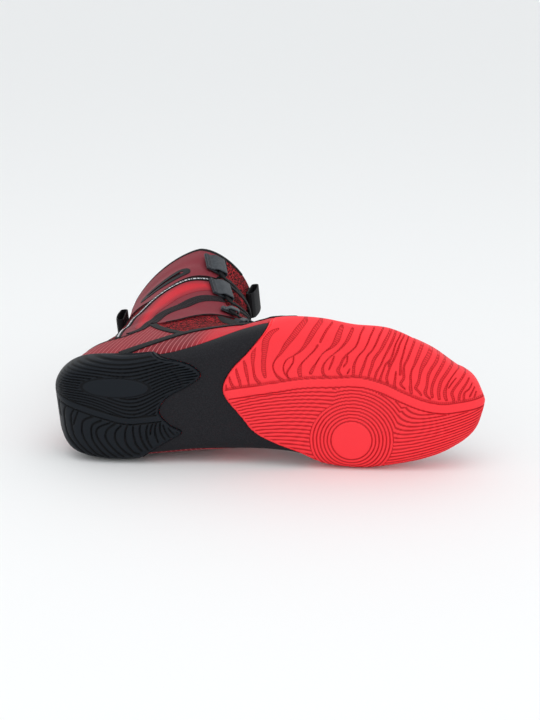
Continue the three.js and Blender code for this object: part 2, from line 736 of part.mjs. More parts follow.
const finishes = {
  knit: finish(0x4a2b31, 0.95),
  lining: finish(0x2a2b2e, 0.95),
  redRubber: finish(0xe93f45, 0.6),
  blackRubber: finish(0x1e2226, 0.55),
  satin: finish(0x26272b, 0.6),
  ripstop: finish(0x9e353e, 0.45),
  wing: finish(0xb43a44, 0.45),
  tape: finish(0x17181a, 0.7),
  webbing: finish(0x41464b, 0.55),
  lace: finish(0x151517, 0.85),
};

// Assembly
const shoe = new THREE.Group();

function addPiece(name, solid, material) {
  const { vertProperties, triVerts } = solid.simplify(flatness).getMesh();
  const geometry = new THREE.BufferGeometry();
  geometry.setAttribute('position', new THREE.BufferAttribute(vertProperties, 3));
  geometry.setIndex(new THREE.BufferAttribute(triVerts, 1));
  const mesh = new THREE.Mesh(geometry, material);
  mesh.name = name;
  shoe.add(mesh);
}

addPiece('upper', makeUpper(), finishes.knit);
addPiece('tongue', makeTongue(), finishes.knit);
addPiece('insole', makeInsole(), finishes.lining);
addPiece('outsole_forefoot', makeForeSole(), finishes.redRubber);
addPiece('outsole_heel', makeHeelSole(), finishes.blackRubber);
addPiece('midfoot_wrap', makeWrap(), finishes.satin);
addPiece('heel_counter', makeCounter(), finishes.ripstop);
for (const half of ['outer', 'inner']) {
  addPiece(`side_panel_${half}`, makeSidePanel(half), finishes.ripstop);
  addPiece(`side_band_${half}`, makeSideBand(half), finishes.tape);
  addPiece(`ankle_strap_${half}`, makeStrap(half), finishes.ripstop);
  addPiece(`lower_wing_${half}`, makeLowWing(half), finishes.wing);
}
addPiece('upper_wing', makeHighWing(), finishes.ripstop);
addPiece('eyestay', makeEyestay(), finishes.tape);
addPiece('collar_binding', makeBinding(), finishes.tape);
laceStations.forEach(([row, round, ...size], index) => {
  addPiece(`lace_tab_outer_${index + 1}`, makeTab(row, round, ...size), finishes.webbing);
  addPiece(`lace_tab_inner_${index + 1}`, makeTab(row, 1 - round, ...size), finishes.webbing);
});
addPiece('laces', makeLaces(), finishes.lace);
addPiece('heel_pull', makeHeelPull(), finishes.tape);
addPiece('tongue_pull', makeTonguePull(), finishes.tape);

// The shoe lies on the side of its hull that its centre of volume is over, the inner side
function centreOfVolume(meshes) {
  const sum = new THREE.Vector3();
  const corners = [new THREE.Vector3(), new THREE.Vector3(), new THREE.Vector3()];
  let volume = 0;
  for (const { geometry } of meshes) {
    const { index, attributes } = geometry;
    for (let start = 0; start < index.count; start += 3) {
      corners.forEach((corner, shift) => {
        corner.fromBufferAttribute(attributes.position, index.getX(start + shift));
      });
      const [a, b, c] = corners;
      const part = a.dot(b.clone().cross(c)) / 6;
      sum.addScaledVector(a.clone().add(b).add(c), part / 4);
      volume += part;
    }
  }
  return sum.divideScalar(volume);
}

function cornersOf(meshes) {
  return meshes.flatMap(({ geometry }) => {
    const { position } = geometry.attributes;
    return Array.from({ length: position.count }, (_, index) => {
      return new THREE.Vector3().fromBufferAttribute(position, index);
    });
  });
}

function layOnInnerSide(group) {
  const points = cornersOf(group.children);
  const centre = centreOfVolume(group.children);
  const hull = new ConvexHull().setFromPoints(points);
  const crossing = ({ normal, midpoint }) => {
    return midpoint.clone().sub(centre).dot(normal) / axes.y.dot(normal);
  };
  const facing = hull.faces.filter(({ normal }) => normal.y > 0.5);
  const floor = facing.reduce((best, face) => (crossing(face) < crossing(best) ? face : best));
  const up = floor.normal.clone().negate();
  const along = axes.x.clone().addScaledVector(up, -axes.x.dot(up)).normalize();
  const lay = new THREE.Matrix4().makeBasis(along, up.clone().cross(along), up).transpose();
  const box = new THREE.Box3().setFromPoints(points.map((point) => point.clone().applyMatrix4(lay)));
  const middle = box.getCenter(new THREE.Vector3());
  group.quaternion.setFromRotationMatrix(lay);
  group.position.set(-middle.x, -middle.y, -box.min.z);
}

layOnInnerSide(shoe);

export default shoe;
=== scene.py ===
# Looks of a boxing shoe for the right foot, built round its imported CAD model. Lengths are in millimetres
# in the shoe's own frame (heel at x = 0, toes along +X, inner side +Y, tread at z = 0) until they are placed.
import json
import math

import bmesh
import bpy
import numpy as np
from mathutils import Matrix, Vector
from mathutils.bvhtree import BVHTree


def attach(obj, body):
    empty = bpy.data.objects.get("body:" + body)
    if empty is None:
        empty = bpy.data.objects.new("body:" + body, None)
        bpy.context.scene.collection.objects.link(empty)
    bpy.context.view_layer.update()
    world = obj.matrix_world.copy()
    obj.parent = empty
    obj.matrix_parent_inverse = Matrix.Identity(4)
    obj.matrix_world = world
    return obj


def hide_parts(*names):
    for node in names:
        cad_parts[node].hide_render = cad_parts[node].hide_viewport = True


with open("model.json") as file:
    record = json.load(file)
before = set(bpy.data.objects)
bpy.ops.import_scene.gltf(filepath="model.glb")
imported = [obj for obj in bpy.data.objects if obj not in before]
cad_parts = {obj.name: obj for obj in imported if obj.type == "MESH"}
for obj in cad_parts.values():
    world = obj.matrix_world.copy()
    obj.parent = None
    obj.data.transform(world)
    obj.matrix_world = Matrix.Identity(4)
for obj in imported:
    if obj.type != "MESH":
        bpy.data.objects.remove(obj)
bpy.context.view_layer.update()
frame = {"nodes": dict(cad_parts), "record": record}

# Driving sizes, the same as the solids'
FOOT, BALL, INSTEP, HEEL, SHAFT = 283.0, 96.0, 106.0, 64.0, 250.0
WALL, RUBBER, LACE_W, LACE_T = 2.4, 3.3, 4.4, 1.1
WEBBING, TAB_W, LOW_TAB_W, TAB_LOOP, TAB_TAIL, LOW_TAB = 1.1, 21.0, 8.5, 10.5, 7.0, 0.7
PULL_W, PULL_L, PULL_D = 20.0, 30.0, 6.0
FIT, PANEL, BAND, SIDE_GAP = 0.3, 0.9, 0.8, 0.5
TOP_OF_PANEL = FIT + PANEL
BAND_W, SLOT_W, TAB_TURN = 8.0, 5.5, -16
REACH = 200.0

# The last, one row for each section from the toe tip to just over the collar
LAST = np.array([
    # top x, top z, sole x, sole z, ridge, inner, outer, flat, wide, crown, base
    [0.995, 0.170, 0.995, 0.281, 0.144, 0.144, 0.144, 0.50, 0.55, 2.20, 2.2],
    [0.990, 0.198, 0.988, 0.234, 0.141, 0.208, 0.083, 0.50, 0.55, 2.20, 2.2],
    [0.978, 0.283, 0.969, 0.172, 0.135, 0.318, -0.012, 0.65, 0.70, 2.30, 2.4],
    [0.945, 0.358, 0.934, 0.125, 0.115, 0.394, -0.097, 0.75, 0.78, 2.20, 2.5],
    [0.883, 0.415, 0.876, 0.086, 0.094, 0.461, -0.252, 0.80, 0.82, 2.00, 2.6],
    [0.806, 0.462, 0.799, 0.059, 0.073, 0.494, -0.392, 0.84, 0.84, 1.90, 2.6],
    [0.724, 0.519, 0.717, 0.048, 0.052, 0.505, -0.438, 0.84, 0.84, 1.85, 2.6],
    [0.654, 0.594, 0.640, 0.048, 0.031, 0.471, -0.495, 0.84, 0.84, 1.80, 2.6],
    [0.594, 0.708, 0.558, 0.059, 0.021, 0.398, -0.510, 0.82, 0.83, 1.75, 2.6],
    [0.544, 0.849, 0.466, 0.081, 0.010, 0.367, -0.469, 0.78, 0.80, 1.75, 2.6],
    [0.505, 1.000, 0.360, 0.084, 0.000, 0.362, -0.411, 0.76, 0.76, 1.80, 2.6],
    [0.477, 1.104, 0.240, 0.062, 0.000, 0.365, -0.380, 0.76, 0.72, 1.85, 2.7],
    [0.452, 1.194, 0.134, 0.050, 0.000, 0.365, -0.365, 0.74, 0.70, 1.90, 2.8],
    [0.435, 1.278, 0.053, 0.102, 0.000, 0.356, -0.349, 0.60, 0.66, 1.95, 2.5],
    [0.424, 1.354, 0.020, 0.297, 0.000, 0.344, -0.333, 0.40, 0.62, 2.00, 2.4],
    [0.415, 1.431, 0.010, 0.594, 0.000, 0.328, -0.318, 0.20, 0.57, 2.00, 2.2],
    [0.406, 1.514, 0.020, 1.000, 0.000, 0.328, -0.318, 0.00, 0.50, 2.00, 1.95],
    [0.398, 1.611, 0.048, 1.177, 0.000, 0.354, -0.344, 0.00, 0.45, 1.90, 1.75],
    [0.392, 1.715, 0.066, 1.366, 0.000, 0.396, -0.385, 0.00, 0.42, 1.78, 1.65],
    [0.390, 1.812, 0.074, 1.538, 0.000, 0.438, -0.425, 0.00, 0.40, 1.68, 1.58],
    [0.392, 1.910, 0.072, 1.704, 0.000, 0.469, -0.458, 0.00, 0.39, 1.62, 1.55],
    [0.396, 2.000, 0.066, 1.860, 0.000, 0.490, -0.480, 0.00, 0.39, 1.62, 1.55],
    [0.399, 2.097, 0.060, 1.946, 0.000, 0.505, -0.495, 0.00, 0.39, 1.62, 1.55],
])
TOP_ROW = len(LAST) - 1
COLLAR = TOP_ROW - 1

# Outlines seen from the side: shares of the foot length and of the shaft height
SIDE = {
    "fore_top": [(0.353, 0.080), (0.530, 0.076), (0.636, 0.070), (0.777, 0.068),
                 (0.883, 0.080), (0.947, 0.100), (0.993, 0.116), (1.060, 0.128)],
    "heel_top": [(-0.035, 0.124), (0.028, 0.116), (0.071, 0.100), (0.110, 0.080),
                 (0.155, 0.056), (0.201, 0.044), (0.233, 0.040), (0.406, 0.040)],
    "wrap_outer": [(0.150, 0.030), (0.283, 0.033), (0.336, 0.042), (0.389, 0.056),
                   (0.452, 0.070), (0.505, 0.073), (0.545, 0.060), (0.671, 0.040)],
    "wrap_inner": [(0.150, 0.018), (0.283, 0.020), (0.336, 0.024), (0.389, 0.032),
                   (0.452, 0.048), (0.512, 0.062), (0.560, 0.056), (0.671, 0.040)],
    "counter_top": [(-0.035, 0.240), (0.071, 0.232), (0.138, 0.228), (0.170, 0.256), (0.208, 0.348)],
    "counter_front": [(0.208, 0.348), (0.233, 0.296), (0.261, 0.240), (0.290, 0.192)],
    "counter_low": [(0.290, 0.192), (0.269, 0.136), (0.219, 0.080), (0.150, 0.030), (-0.035, 0.010)],
    "panel_low": [(0.190, 0.000), (0.283, 0.000), (0.452, 0.030), (0.565, 0.060)],
    "panel_top": [(0.565, 0.081), (0.530, 0.132), (0.466, 0.180), (0.396, 0.196),
                  (0.339, 0.184), (0.293, 0.152), (0.254, 0.112), (0.190, 0.040)],
    "band": [(0.177, 0.056), (0.212, 0.086), (0.261, 0.132), (0.304, 0.172), (0.346, 0.198),
             (0.396, 0.210), (0.452, 0.198), (0.502, 0.172), (0.548, 0.132), (0.580, 0.096)],
    "branch": [(0.212, 0.348), (0.233, 0.300), (0.258, 0.252), (0.283, 0.212), (0.311, 0.178)],
    "strap_top": [(0.212, 0.372), (0.224, 0.460), (0.258, 0.536), (0.302, 0.624), (0.350, 0.684)],
    "strap_front": [(0.350, 0.684), (0.382, 0.632), (0.396, 0.580)],
    "strap_low": [(0.396, 0.580), (0.353, 0.536), (0.311, 0.488), (0.272, 0.432), (0.240, 0.380)],
    "low_wing_top": [(0.141, 0.236), (0.136, 0.320), (0.141, 0.432), (0.155, 0.528),
                     (0.177, 0.608), (0.205, 0.660), (0.247, 0.712), (0.300, 0.764), (0.329, 0.788)],
    "low_wing_front": [(0.329, 0.788), (0.346, 0.752), (0.345, 0.692)],
    "low_wing_low": [(0.345, 0.692), (0.297, 0.636), (0.251, 0.544), (0.219, 0.472),
                     (0.198, 0.388), (0.189, 0.300), (0.163, 0.262)],
    "high_wing_low": [(-0.035, 0.668), (0.071, 0.664), (0.117, 0.652), (0.155, 0.624),
                      (0.177, 0.632), (0.205, 0.680), (0.247, 0.732), (0.297, 0.782), (0.322, 0.804)],
    "high_wing_front": [(0.322, 0.804), (0.332, 0.860), (0.336, 0.920), (0.332, 0.972)],
    "high_wing_top": [(0.332, 0.972), (0.247, 0.946), (0.141, 0.912), (0.042, 0.880), (-0.035, 0.856)],
    "slot": [(0.152, 0.720), (0.190, 0.745), (0.233, 0.784)],
}

# Outlines seen from below: shares of the foot length and of the ball width
PLAN = {
    "fore_back": [(0.537, -0.542), (0.516, -0.469), (0.477, -0.349), (0.435, -0.234),
                  (0.412, -0.125), (0.415, -0.036), (0.445, 0.099), (0.473, 0.219),
                  (0.519, 0.307), (0.583, 0.401), (0.643, 0.552)],
    "heel_front": [(0.233, -0.438), (0.269, -0.359), (0.311, -0.323), (0.343, -0.281),
                   (0.361, -0.208), (0.329, -0.141), (0.279, -0.073), (0.255, 0.026),
                   (0.276, 0.130), (0.302, 0.188), (0.272, 0.236), (0.219, 0.323), (0.173, 0.448)],
    "fore_band": [(0.417, -0.062), (0.523, -0.094), (0.594, -0.115), (0.664, -0.109),
                  (0.724, -0.099), (0.774, -0.047), (0.816, 0.026), (0.862, 0.099),
                  (0.908, 0.141), (0.954, 0.144), (1.040, 0.141)],
    "heel_band": [(-0.050, -0.120), (0.014, -0.104), (0.064, -0.052),
                  (0.127, 0.021), (0.184, 0.073), (0.269, 0.068)],
}
FRONT = {
    "throat": [(0.322, 0.000), (0.326, 0.075), (0.350, 0.115), (0.440, 0.135),
               (0.680, 0.177), (1.000, 0.229), (1.200, 0.250)],
    "eyestay": [(0.268, 0.000), (0.276, 0.130), (0.320, 0.205), (0.400, 0.232), (0.520, 0.245)],
    "tongue": [(0.236, 0.000), (0.244, 0.160), (0.300, 0.225), (0.400, 0.250),
               (0.680, 0.292), (0.985, 0.333), (1.040, 0.260), (1.052, 0.000)],
}

# Where the lace tabs sit: row of the last, way round it, width, size, turn in degrees
STATIONS = [
    (9.4, 0.068, LOW_TAB_W, LOW_TAB, 0), (11.9, 0.079, LOW_TAB_W, LOW_TAB, 0),
    (14.7, 0.093, LOW_TAB_W, LOW_TAB, 0), (17.35, 0.131, TAB_W, 1.0, TAB_TURN), (19.5, 0.165, TAB_W, 1.0, TAB_TURN),
]


# The last as a surface
def climb(share, knee):
    return np.where(share < 1, share * knee, knee + (share - 1) * (SHAFT - knee))


SECTIONS = LAST.copy()
SECTIONS[:, 0] *= FOOT
SECTIONS[:, 1] = climb(LAST[:, 1], INSTEP)
SECTIONS[:, 2] *= FOOT
SECTIONS[:, 3] = climb(LAST[:, 3], HEEL)
SECTIONS[:, 4:7] *= BALL


def section(row):
    start = np.clip(np.floor(row), 0, TOP_ROW - 1).astype(int)
    a, b, c, d = (SECTIONS[np.clip(start + k, 0, TOP_ROW)] for k in (-1, 0, 1, 2))
    t = (row - start)[..., None]
    bend = 2 * a - 5 * b + 4 * c - d
    twist = 3 * b - a - 3 * c + d
    return b + 0.5 * t * (c - a + t * (bend + t * twist))


def last_point(row, way):
    row, way = np.broadcast_arrays(np.asarray(row, float), np.asarray(way, float))
    s = section(row)
    top_x, top_z, sole_x, sole_z, ridge, inner, outer, flat, wide, crown, base = (s[..., k] for k in range(11))
    turn = way - np.floor(way)
    edge = np.where(turn < 0.5, outer, inner)
    down = np.where(turn < 0.5, 2 * turn, 2 - 2 * turn)
    flat_share = 0.24 * np.clip(flat, 0, 1)
    middle = (inner + outer) / 2
    angle = np.pi * np.minimum(down, 0.5)
    y1 = ridge + (edge - ridge) * np.sin(angle) ** (2 / crown)
    d1 = wide * (1 - np.clip(np.cos(angle), 0, 1) ** (2 / crown))
    angle = np.pi / 2 * np.clip((down - 0.5) / (0.5 - flat_share), 0, 1)
    spread = np.clip(np.cos(angle), 0, 1) ** (2 / base)
    y2 = middle + (edge - middle) * (flat + (1 - flat) * spread)
    d2 = wide + (1 - wide) * np.sin(angle) ** (2 / base)
    y3 = middle + (edge - middle) * flat * ((1 - down) / np.maximum(flat_share, 1e-6))
    first, second = down < 0.5, down < 1 - flat_share
    y = np.where(first, y1, np.where(second, y2, y3))
    drop = np.where(first, d1, np.where(second, d2, 1.0))
    return np.stack([top_x + (sole_x - top_x) * drop, y, top_z + (sole_z - top_z) * drop], -1)


def unit(v):
    return v / np.maximum(np.linalg.norm(v, axis=-1, keepdims=True), 1e-9)


def last_frame(row, way, step=0.004):
    row, way = np.broadcast_arrays(np.asarray(row, float), np.asarray(way, float))
    up = unit(last_point(np.minimum(row + 10 * step, TOP_ROW), way) - last_point(np.maximum(row - 10 * step, 0), way))
    out = unit(last_point(row, way + step) - last_point(row, way - step))
    return up, unit(np.cross(up, out))


# Creases of the knit and the panels, as soft troughs and ridges across lines seen from the side
CREASES = [
    # x, z, towards x, towards z, half width, depth, which side: -1 outer, 1 inner, 0 both
    (122, 118, 74, 104, 7.0, -0.6, 0),
    (124, 134, 80, 124, 6.0, 0.4, 0),
    (116, 148, 66, 136, 6.5, -0.5, 0),
    (20, 96, 52, 104, 7.0, -0.9, 0),
    (18, 118, 50, 122, 7.0, 0.6, 0),
    (154, 70, 128, 40, 6.0, -1.1, 0),
    (170, 62, 150, 34, 6.0, 0.8, 0),
    (40, 205, 84, 214, 7.0, -1.0, -1),
]


def creases(p):
    total = np.zeros(p.shape[:-1])
    for x0, z0, x1, z1, half, depth, which in CREASES:
        run = np.array([x1 - x0, z1 - z0], float)
        length = np.linalg.norm(run)
        run /= length
        rel = p[..., [0, 2]] - (x0, z0)
        along = rel @ run
        off = rel @ np.array([-run[1], run[0]])
        off = off + 1.6 * np.sin(along / 11.0 + x0)
        beyond = np.maximum(np.maximum(-along, along - length), 0)
        strength = np.exp(-(off / half) ** 2) * np.exp(-(beyond / 9.0) ** 2)
        if which:
            strength = strength * (np.sign(p[..., 1]) == which)
        total += depth * strength
    return total


def skin(row, way, offset=0.0, creased=True):
    p = last_point(row, way)
    normal = last_frame(row, way)[1]
    lift = offset + (creases(p) if creased else 0.0)
    return p + normal * np.asarray(lift)[..., None] * np.ones_like(p)


# Meshes from points
def mesh_of(points, faces):
    me = bpy.data.meshes.new("m")
    points = np.asarray(points, float).reshape(-1, 3)
    me.from_pydata(points.tolist(), [], [list(map(int, f)) for f in faces])
    me.update()
    return me


def grid_faces(rings, around, closed=True):
    i, j = np.meshgrid(np.arange(rings - 1), np.arange(around if closed else around - 1), indexing="ij")
    k = (j + 1) % around
    return np.stack([i * around + j, (i + 1) * around + j, (i + 1) * around + k, i * around + k], -1).reshape(-1, 4)


def quads_mesh(points, quads, tris=()):
    me = bpy.data.meshes.new("m")
    points = np.asarray(points, np.float32).reshape(-1, 3)
    quads = np.asarray(quads, np.int32).reshape(-1, 4)
    tris = np.asarray(tris, np.int32).reshape(-1, 3)
    me.vertices.add(len(points))
    me.vertices.foreach_set("co", points.ravel())
    loops = np.concatenate([quads.ravel(), tris.ravel()])
    me.loops.add(len(loops))
    me.loops.foreach_set("vertex_index", loops)
    starts = np.concatenate([np.arange(len(quads)) * 4, len(quads) * 4 + np.arange(len(tris)) * 3]).astype(np.int32)
    me.polygons.add(len(starts))
    me.polygons.foreach_set("loop_start", starts)
    me.update(calc_edges=True)
    me.validate()
    return me


def ring_rows(first, last_row, step):
    # rows so that rings are about a step apart where they are widest apart
    fine = np.linspace(first, last_row, 2000)
    spread = max_step(fine)
    total = np.concatenate([[0], np.cumsum(spread)])
    count = max(int(total[-1] / step), 4)
    return np.interp(np.linspace(0, total[-1], count + 1), total, fine)


def max_step(rows):
    ways = np.array([0.0, 0.25, 0.5, 0.75])
    p = last_point(rows[:, None], ways[None, :])
    return np.linalg.norm(np.diff(p, axis=0), axis=-1).max(-1)


def form(offset, rows, ways, creased=True):
    """The last closed at both ends of its rows, grown or shrunk by an offset, a number or a function."""
    row, way = np.meshgrid(rows, ways, indexing="ij")
    if callable(offset):
        base = last_point(row, way)
        normal = last_frame(row, way)[1]
        points = base + normal * offset(base, normal, row, way)[..., None]
        low, high = points[0].mean(0), points[-1].mean(0)
    else:
        points = skin(row, way, offset, creased)
        low = points[0].mean(0)
        high = points[-1].mean(0)
    if rows[0] < 0.08:
        tip = last_point(0.0, 0.0)
        low = tip + np.array([offset if not callable(offset) else RUBBER + 0.3, 0, 0])
    n = len(ways)
    quads = grid_faces(len(rows), n)
    j = np.arange(n)
    k = (j + 1) % n
    a, b = len(rows) * n, len(rows) * n + 1
    end = (len(rows) - 1) * n
    tris = np.concatenate([
        np.stack([np.full(n, a), j, k], -1), np.stack([np.full(n, b), end + k, end + j], -1)])
    return quads_mesh(np.concatenate([points.reshape(-1, 3), [low, high]]), quads, tris)


WAYS = np.arange(150) / 150
BODY_ROWS = ring_rows(0.02, TOP_ROW, 2.2)


# Cutters and booleans
def spline(points, per=6):
    p = np.asarray(points, float)
    n = len(p)
    t = np.linspace(0, n - 1, per * (n - 1) + 1)
    i = np.clip(np.floor(t).astype(int), 0, n - 2)
    w = (t - i)[:, None]
    a, b, c, d = p[np.maximum(i - 1, 0)], p[i], p[i + 1], p[np.minimum(i + 2, n - 1)]
    v0, v1 = (c - a) * 0.5, (d - b) * 0.5
    return (2 * b - 2 * c + v0 + v1) * w ** 3 + (-3 * b + 3 * c - 2 * v0 - v1) * w ** 2 + v0 * w + b


def side_line(name, per=6):
    return spline(np.array(SIDE[name]) * (FOOT, SHAFT), per)


def plan_line(name, per=6):
    return spline(np.array(PLAN[name]) * (FOOT, BALL), per)


def outline_of(*names):
    lines = [side_line(n) for n in names]
    return np.concatenate([lines[0]] + [line[1:] for line in lines[1:]])


def moved(points, by, closed):
    n = len(points)
    i = np.arange(n)
    ahead = points[(i + 1) % n] if closed else points[np.minimum(i + 1, n - 1)]
    behind = points[(i - 1) % n] if closed else points[np.maximum(i - 1, 0)]
    run = unit(ahead - behind)
    return points + np.stack([run[:, 1], -run[:, 0]], -1) * np.asarray(by).reshape(-1, 1)


def area_of(outline):
    x, y = outline[:, 0], outline[:, 1]
    return 0.5 * np.sum(x * np.roll(y, -1) - y * np.roll(x, -1))


def grown(outline, by):
    return moved(outline, by * np.sign(area_of(outline)), True)


def ribbon(line, width):
    w = np.asarray(width) / 2
    return np.concatenate([moved(line, w, False), moved(line, -w, False)[::-1]])


def prism(view, outline, near, far):
    outline = np.asarray(outline, float)
    keep = np.linalg.norm(outline - np.roll(outline, 1, 0), axis=1) > 1e-5
    outline = outline[keep]
    if area_of(outline) < 0:
        outline = outline[::-1]
    n = len(outline)
    u, v = outline[:, 0], outline[:, 1]
    put = {
        "side": lambda d: np.stack([u, np.full(n, -d), v], -1),
        "plan": lambda d: np.stack([u, v, np.full(n, d)], -1),
        "front": lambda d: np.stack([np.full(n, d), u, v], -1),
    }[view]
    points = np.concatenate([put(near), put(far)])
    faces = [list(range(n))[::-1], list(range(n, 2 * n))]
    faces += [[i, (i + 1) % n, n + (i + 1) % n, n + i] for i in range(n)]
    return mesh_of(points, faces)


def boolean(a, b, operation):
    first, second = (bpy.data.objects.new("t", m) for m in (a, b))
    for o in (first, second):
        bpy.context.scene.collection.objects.link(o)
    mod = first.modifiers.new("b", "BOOLEAN")
    mod.operation = operation
    mod.solver = "MANIFOLD"
    mod.object = second
    dg = bpy.context.evaluated_depsgraph_get()
    out = bpy.data.meshes.new_from_object(first.evaluated_get(dg))
    bpy.data.objects.remove(first)
    bpy.data.objects.remove(second)
    return out


def both(a, *cutters):
    for c in cutters:
        a = boolean(a, c, "INTERSECT")
    return a


def minus(a, *cutters):
    for c in cutters:
        a = boolean(a, c, "DIFFERENCE")
    return a


def joined(a, *others):
    for b in others:
        a = boolean(a, b, "UNION")
    return a


FORMS = {}


def body(offset, rows=None, key=None):
    key = key or round(offset, 3)
    if key not in FORMS:
        FORMS[key] = form(offset, BODY_ROWS if rows is None else rows, WAYS)
    return FORMS[key]


HALF = {"outer": (0.0, REACH), "inner": (-REACH, 0.0), None: (-REACH, REACH)}


def patch(outline, half, inside, outside, *cut, view="side"):
    """A layer of the last between two offsets, inside an outline."""
    region = prism(view, outline, *HALF[half]) if not isinstance(outline, bpy.types.Mesh) else outline
    shell = minus(both(body(outside), region), body(inside))
    return minus(shell, *cut)


def below(line):
    return np.concatenate([[(line[0][0], -REACH), (line[-1][0], -REACH)], line[::-1]])


def fore_region(grow=0.0):
    back = plan_line("fore_back")
    right = FOOT + REACH
    outline = np.concatenate([[(back[0][0], -REACH)], back, [(back[-1][0], REACH), (right, REACH), (right, -REACH)]])
    top = below(side_line("fore_top"))
    return both(prism("plan", grown(outline, grow), -REACH, REACH), prism("side", grown(top, grow), -REACH, REACH))


def heel_region(grow=0.0):
    nose = plan_line("heel_front")
    outline = np.concatenate([[(nose[0][0], -REACH)], nose, [(nose[-1][0], REACH), (-REACH, REACH), (-REACH, -REACH)]])
    top = below(side_line("heel_top"))
    return both(prism("plan", grown(outline, grow), -REACH, REACH), prism("side", grown(top, grow), -REACH, REACH))


def front_outline(name, grow=0.0):
    right = spline(np.array([(a * BALL, u * SHAFT) for u, a in FRONT[name]]))
    left = (right * (-1, 1))[::-1]
    outline = np.concatenate([right, left])
    gap = np.linalg.norm(outline - np.roll(outline, 1, 0), axis=1) > 1e-6
    return grown(outline[gap], grow)


def front_cut(name, grow=0.0):
    return prism("front", front_outline(name, grow), 79, FOOT)


# Where the shoe lies: its two tread mounts give the shoe's frame in the row frame
TREADS = {"forefoot_tread": (197.0, 30.0, 0.0), "heel_tread": (38.0, -14.0, 0.0)}


def basis(run, up):
    along = unit(np.asarray(run, float) - np.dot(run, up) * np.asarray(up))
    return np.stack([along, np.cross(up, along), up], 1)


mounts = {m["name"]: m for m in frame["record"]["mounts"]}
FORE_ROW, HEEL_ROW = (np.array(mounts[name]["pos_m"]) for name in TREADS)
FORE_SHOE, HEEL_SHOE = (np.array(place) for place in TREADS.values())
UP_ROW = -np.array(mounts["forefoot_tread"]["axis"])
TURN = basis(FORE_ROW - HEEL_ROW, UP_ROW) @ basis(FORE_SHOE - HEEL_SHOE, (0.0, 0.0, 1.0)).T
SHIFT = FORE_ROW - TURN @ FORE_SHOE / 1000


def to_row(points):
    return points @ TURN.T / 1000 + SHIFT


def points_of(me):
    co = np.empty(len(me.vertices) * 3, np.float32)
    me.vertices.foreach_get("co", co)
    return co.reshape(-1, 3).astype(float)


def piece(name, me, material, slot, *nodes, angle=38, relief=None):
    """A mesh in the shoe's millimetres becomes a piece in the row frame."""
    co = points_of(me)
    at = me.attributes.new("shoe", "FLOAT_VECTOR", "POINT")
    at.data.foreach_set("vector", co.astype(np.float32).ravel())
    if relief is not None:
        at = me.attributes.new("relief", "FLOAT_VECTOR", "POINT")
        at.data.foreach_set("vector", relief(co).astype(np.float32).ravel())
    me.vertices.foreach_set("co", to_row(co).astype(np.float32).ravel())
    me.materials.clear()
    me.materials.append(material)
    me.shade_smooth()
    me.set_sharp_from_angle(angle=math.radians(angle))
    me.update()
    o = bpy.data.objects.new(name, me)
    bpy.context.scene.collection.objects.link(o)
    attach(o, "root")
    if nodes:
        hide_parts(*nodes)
    return o


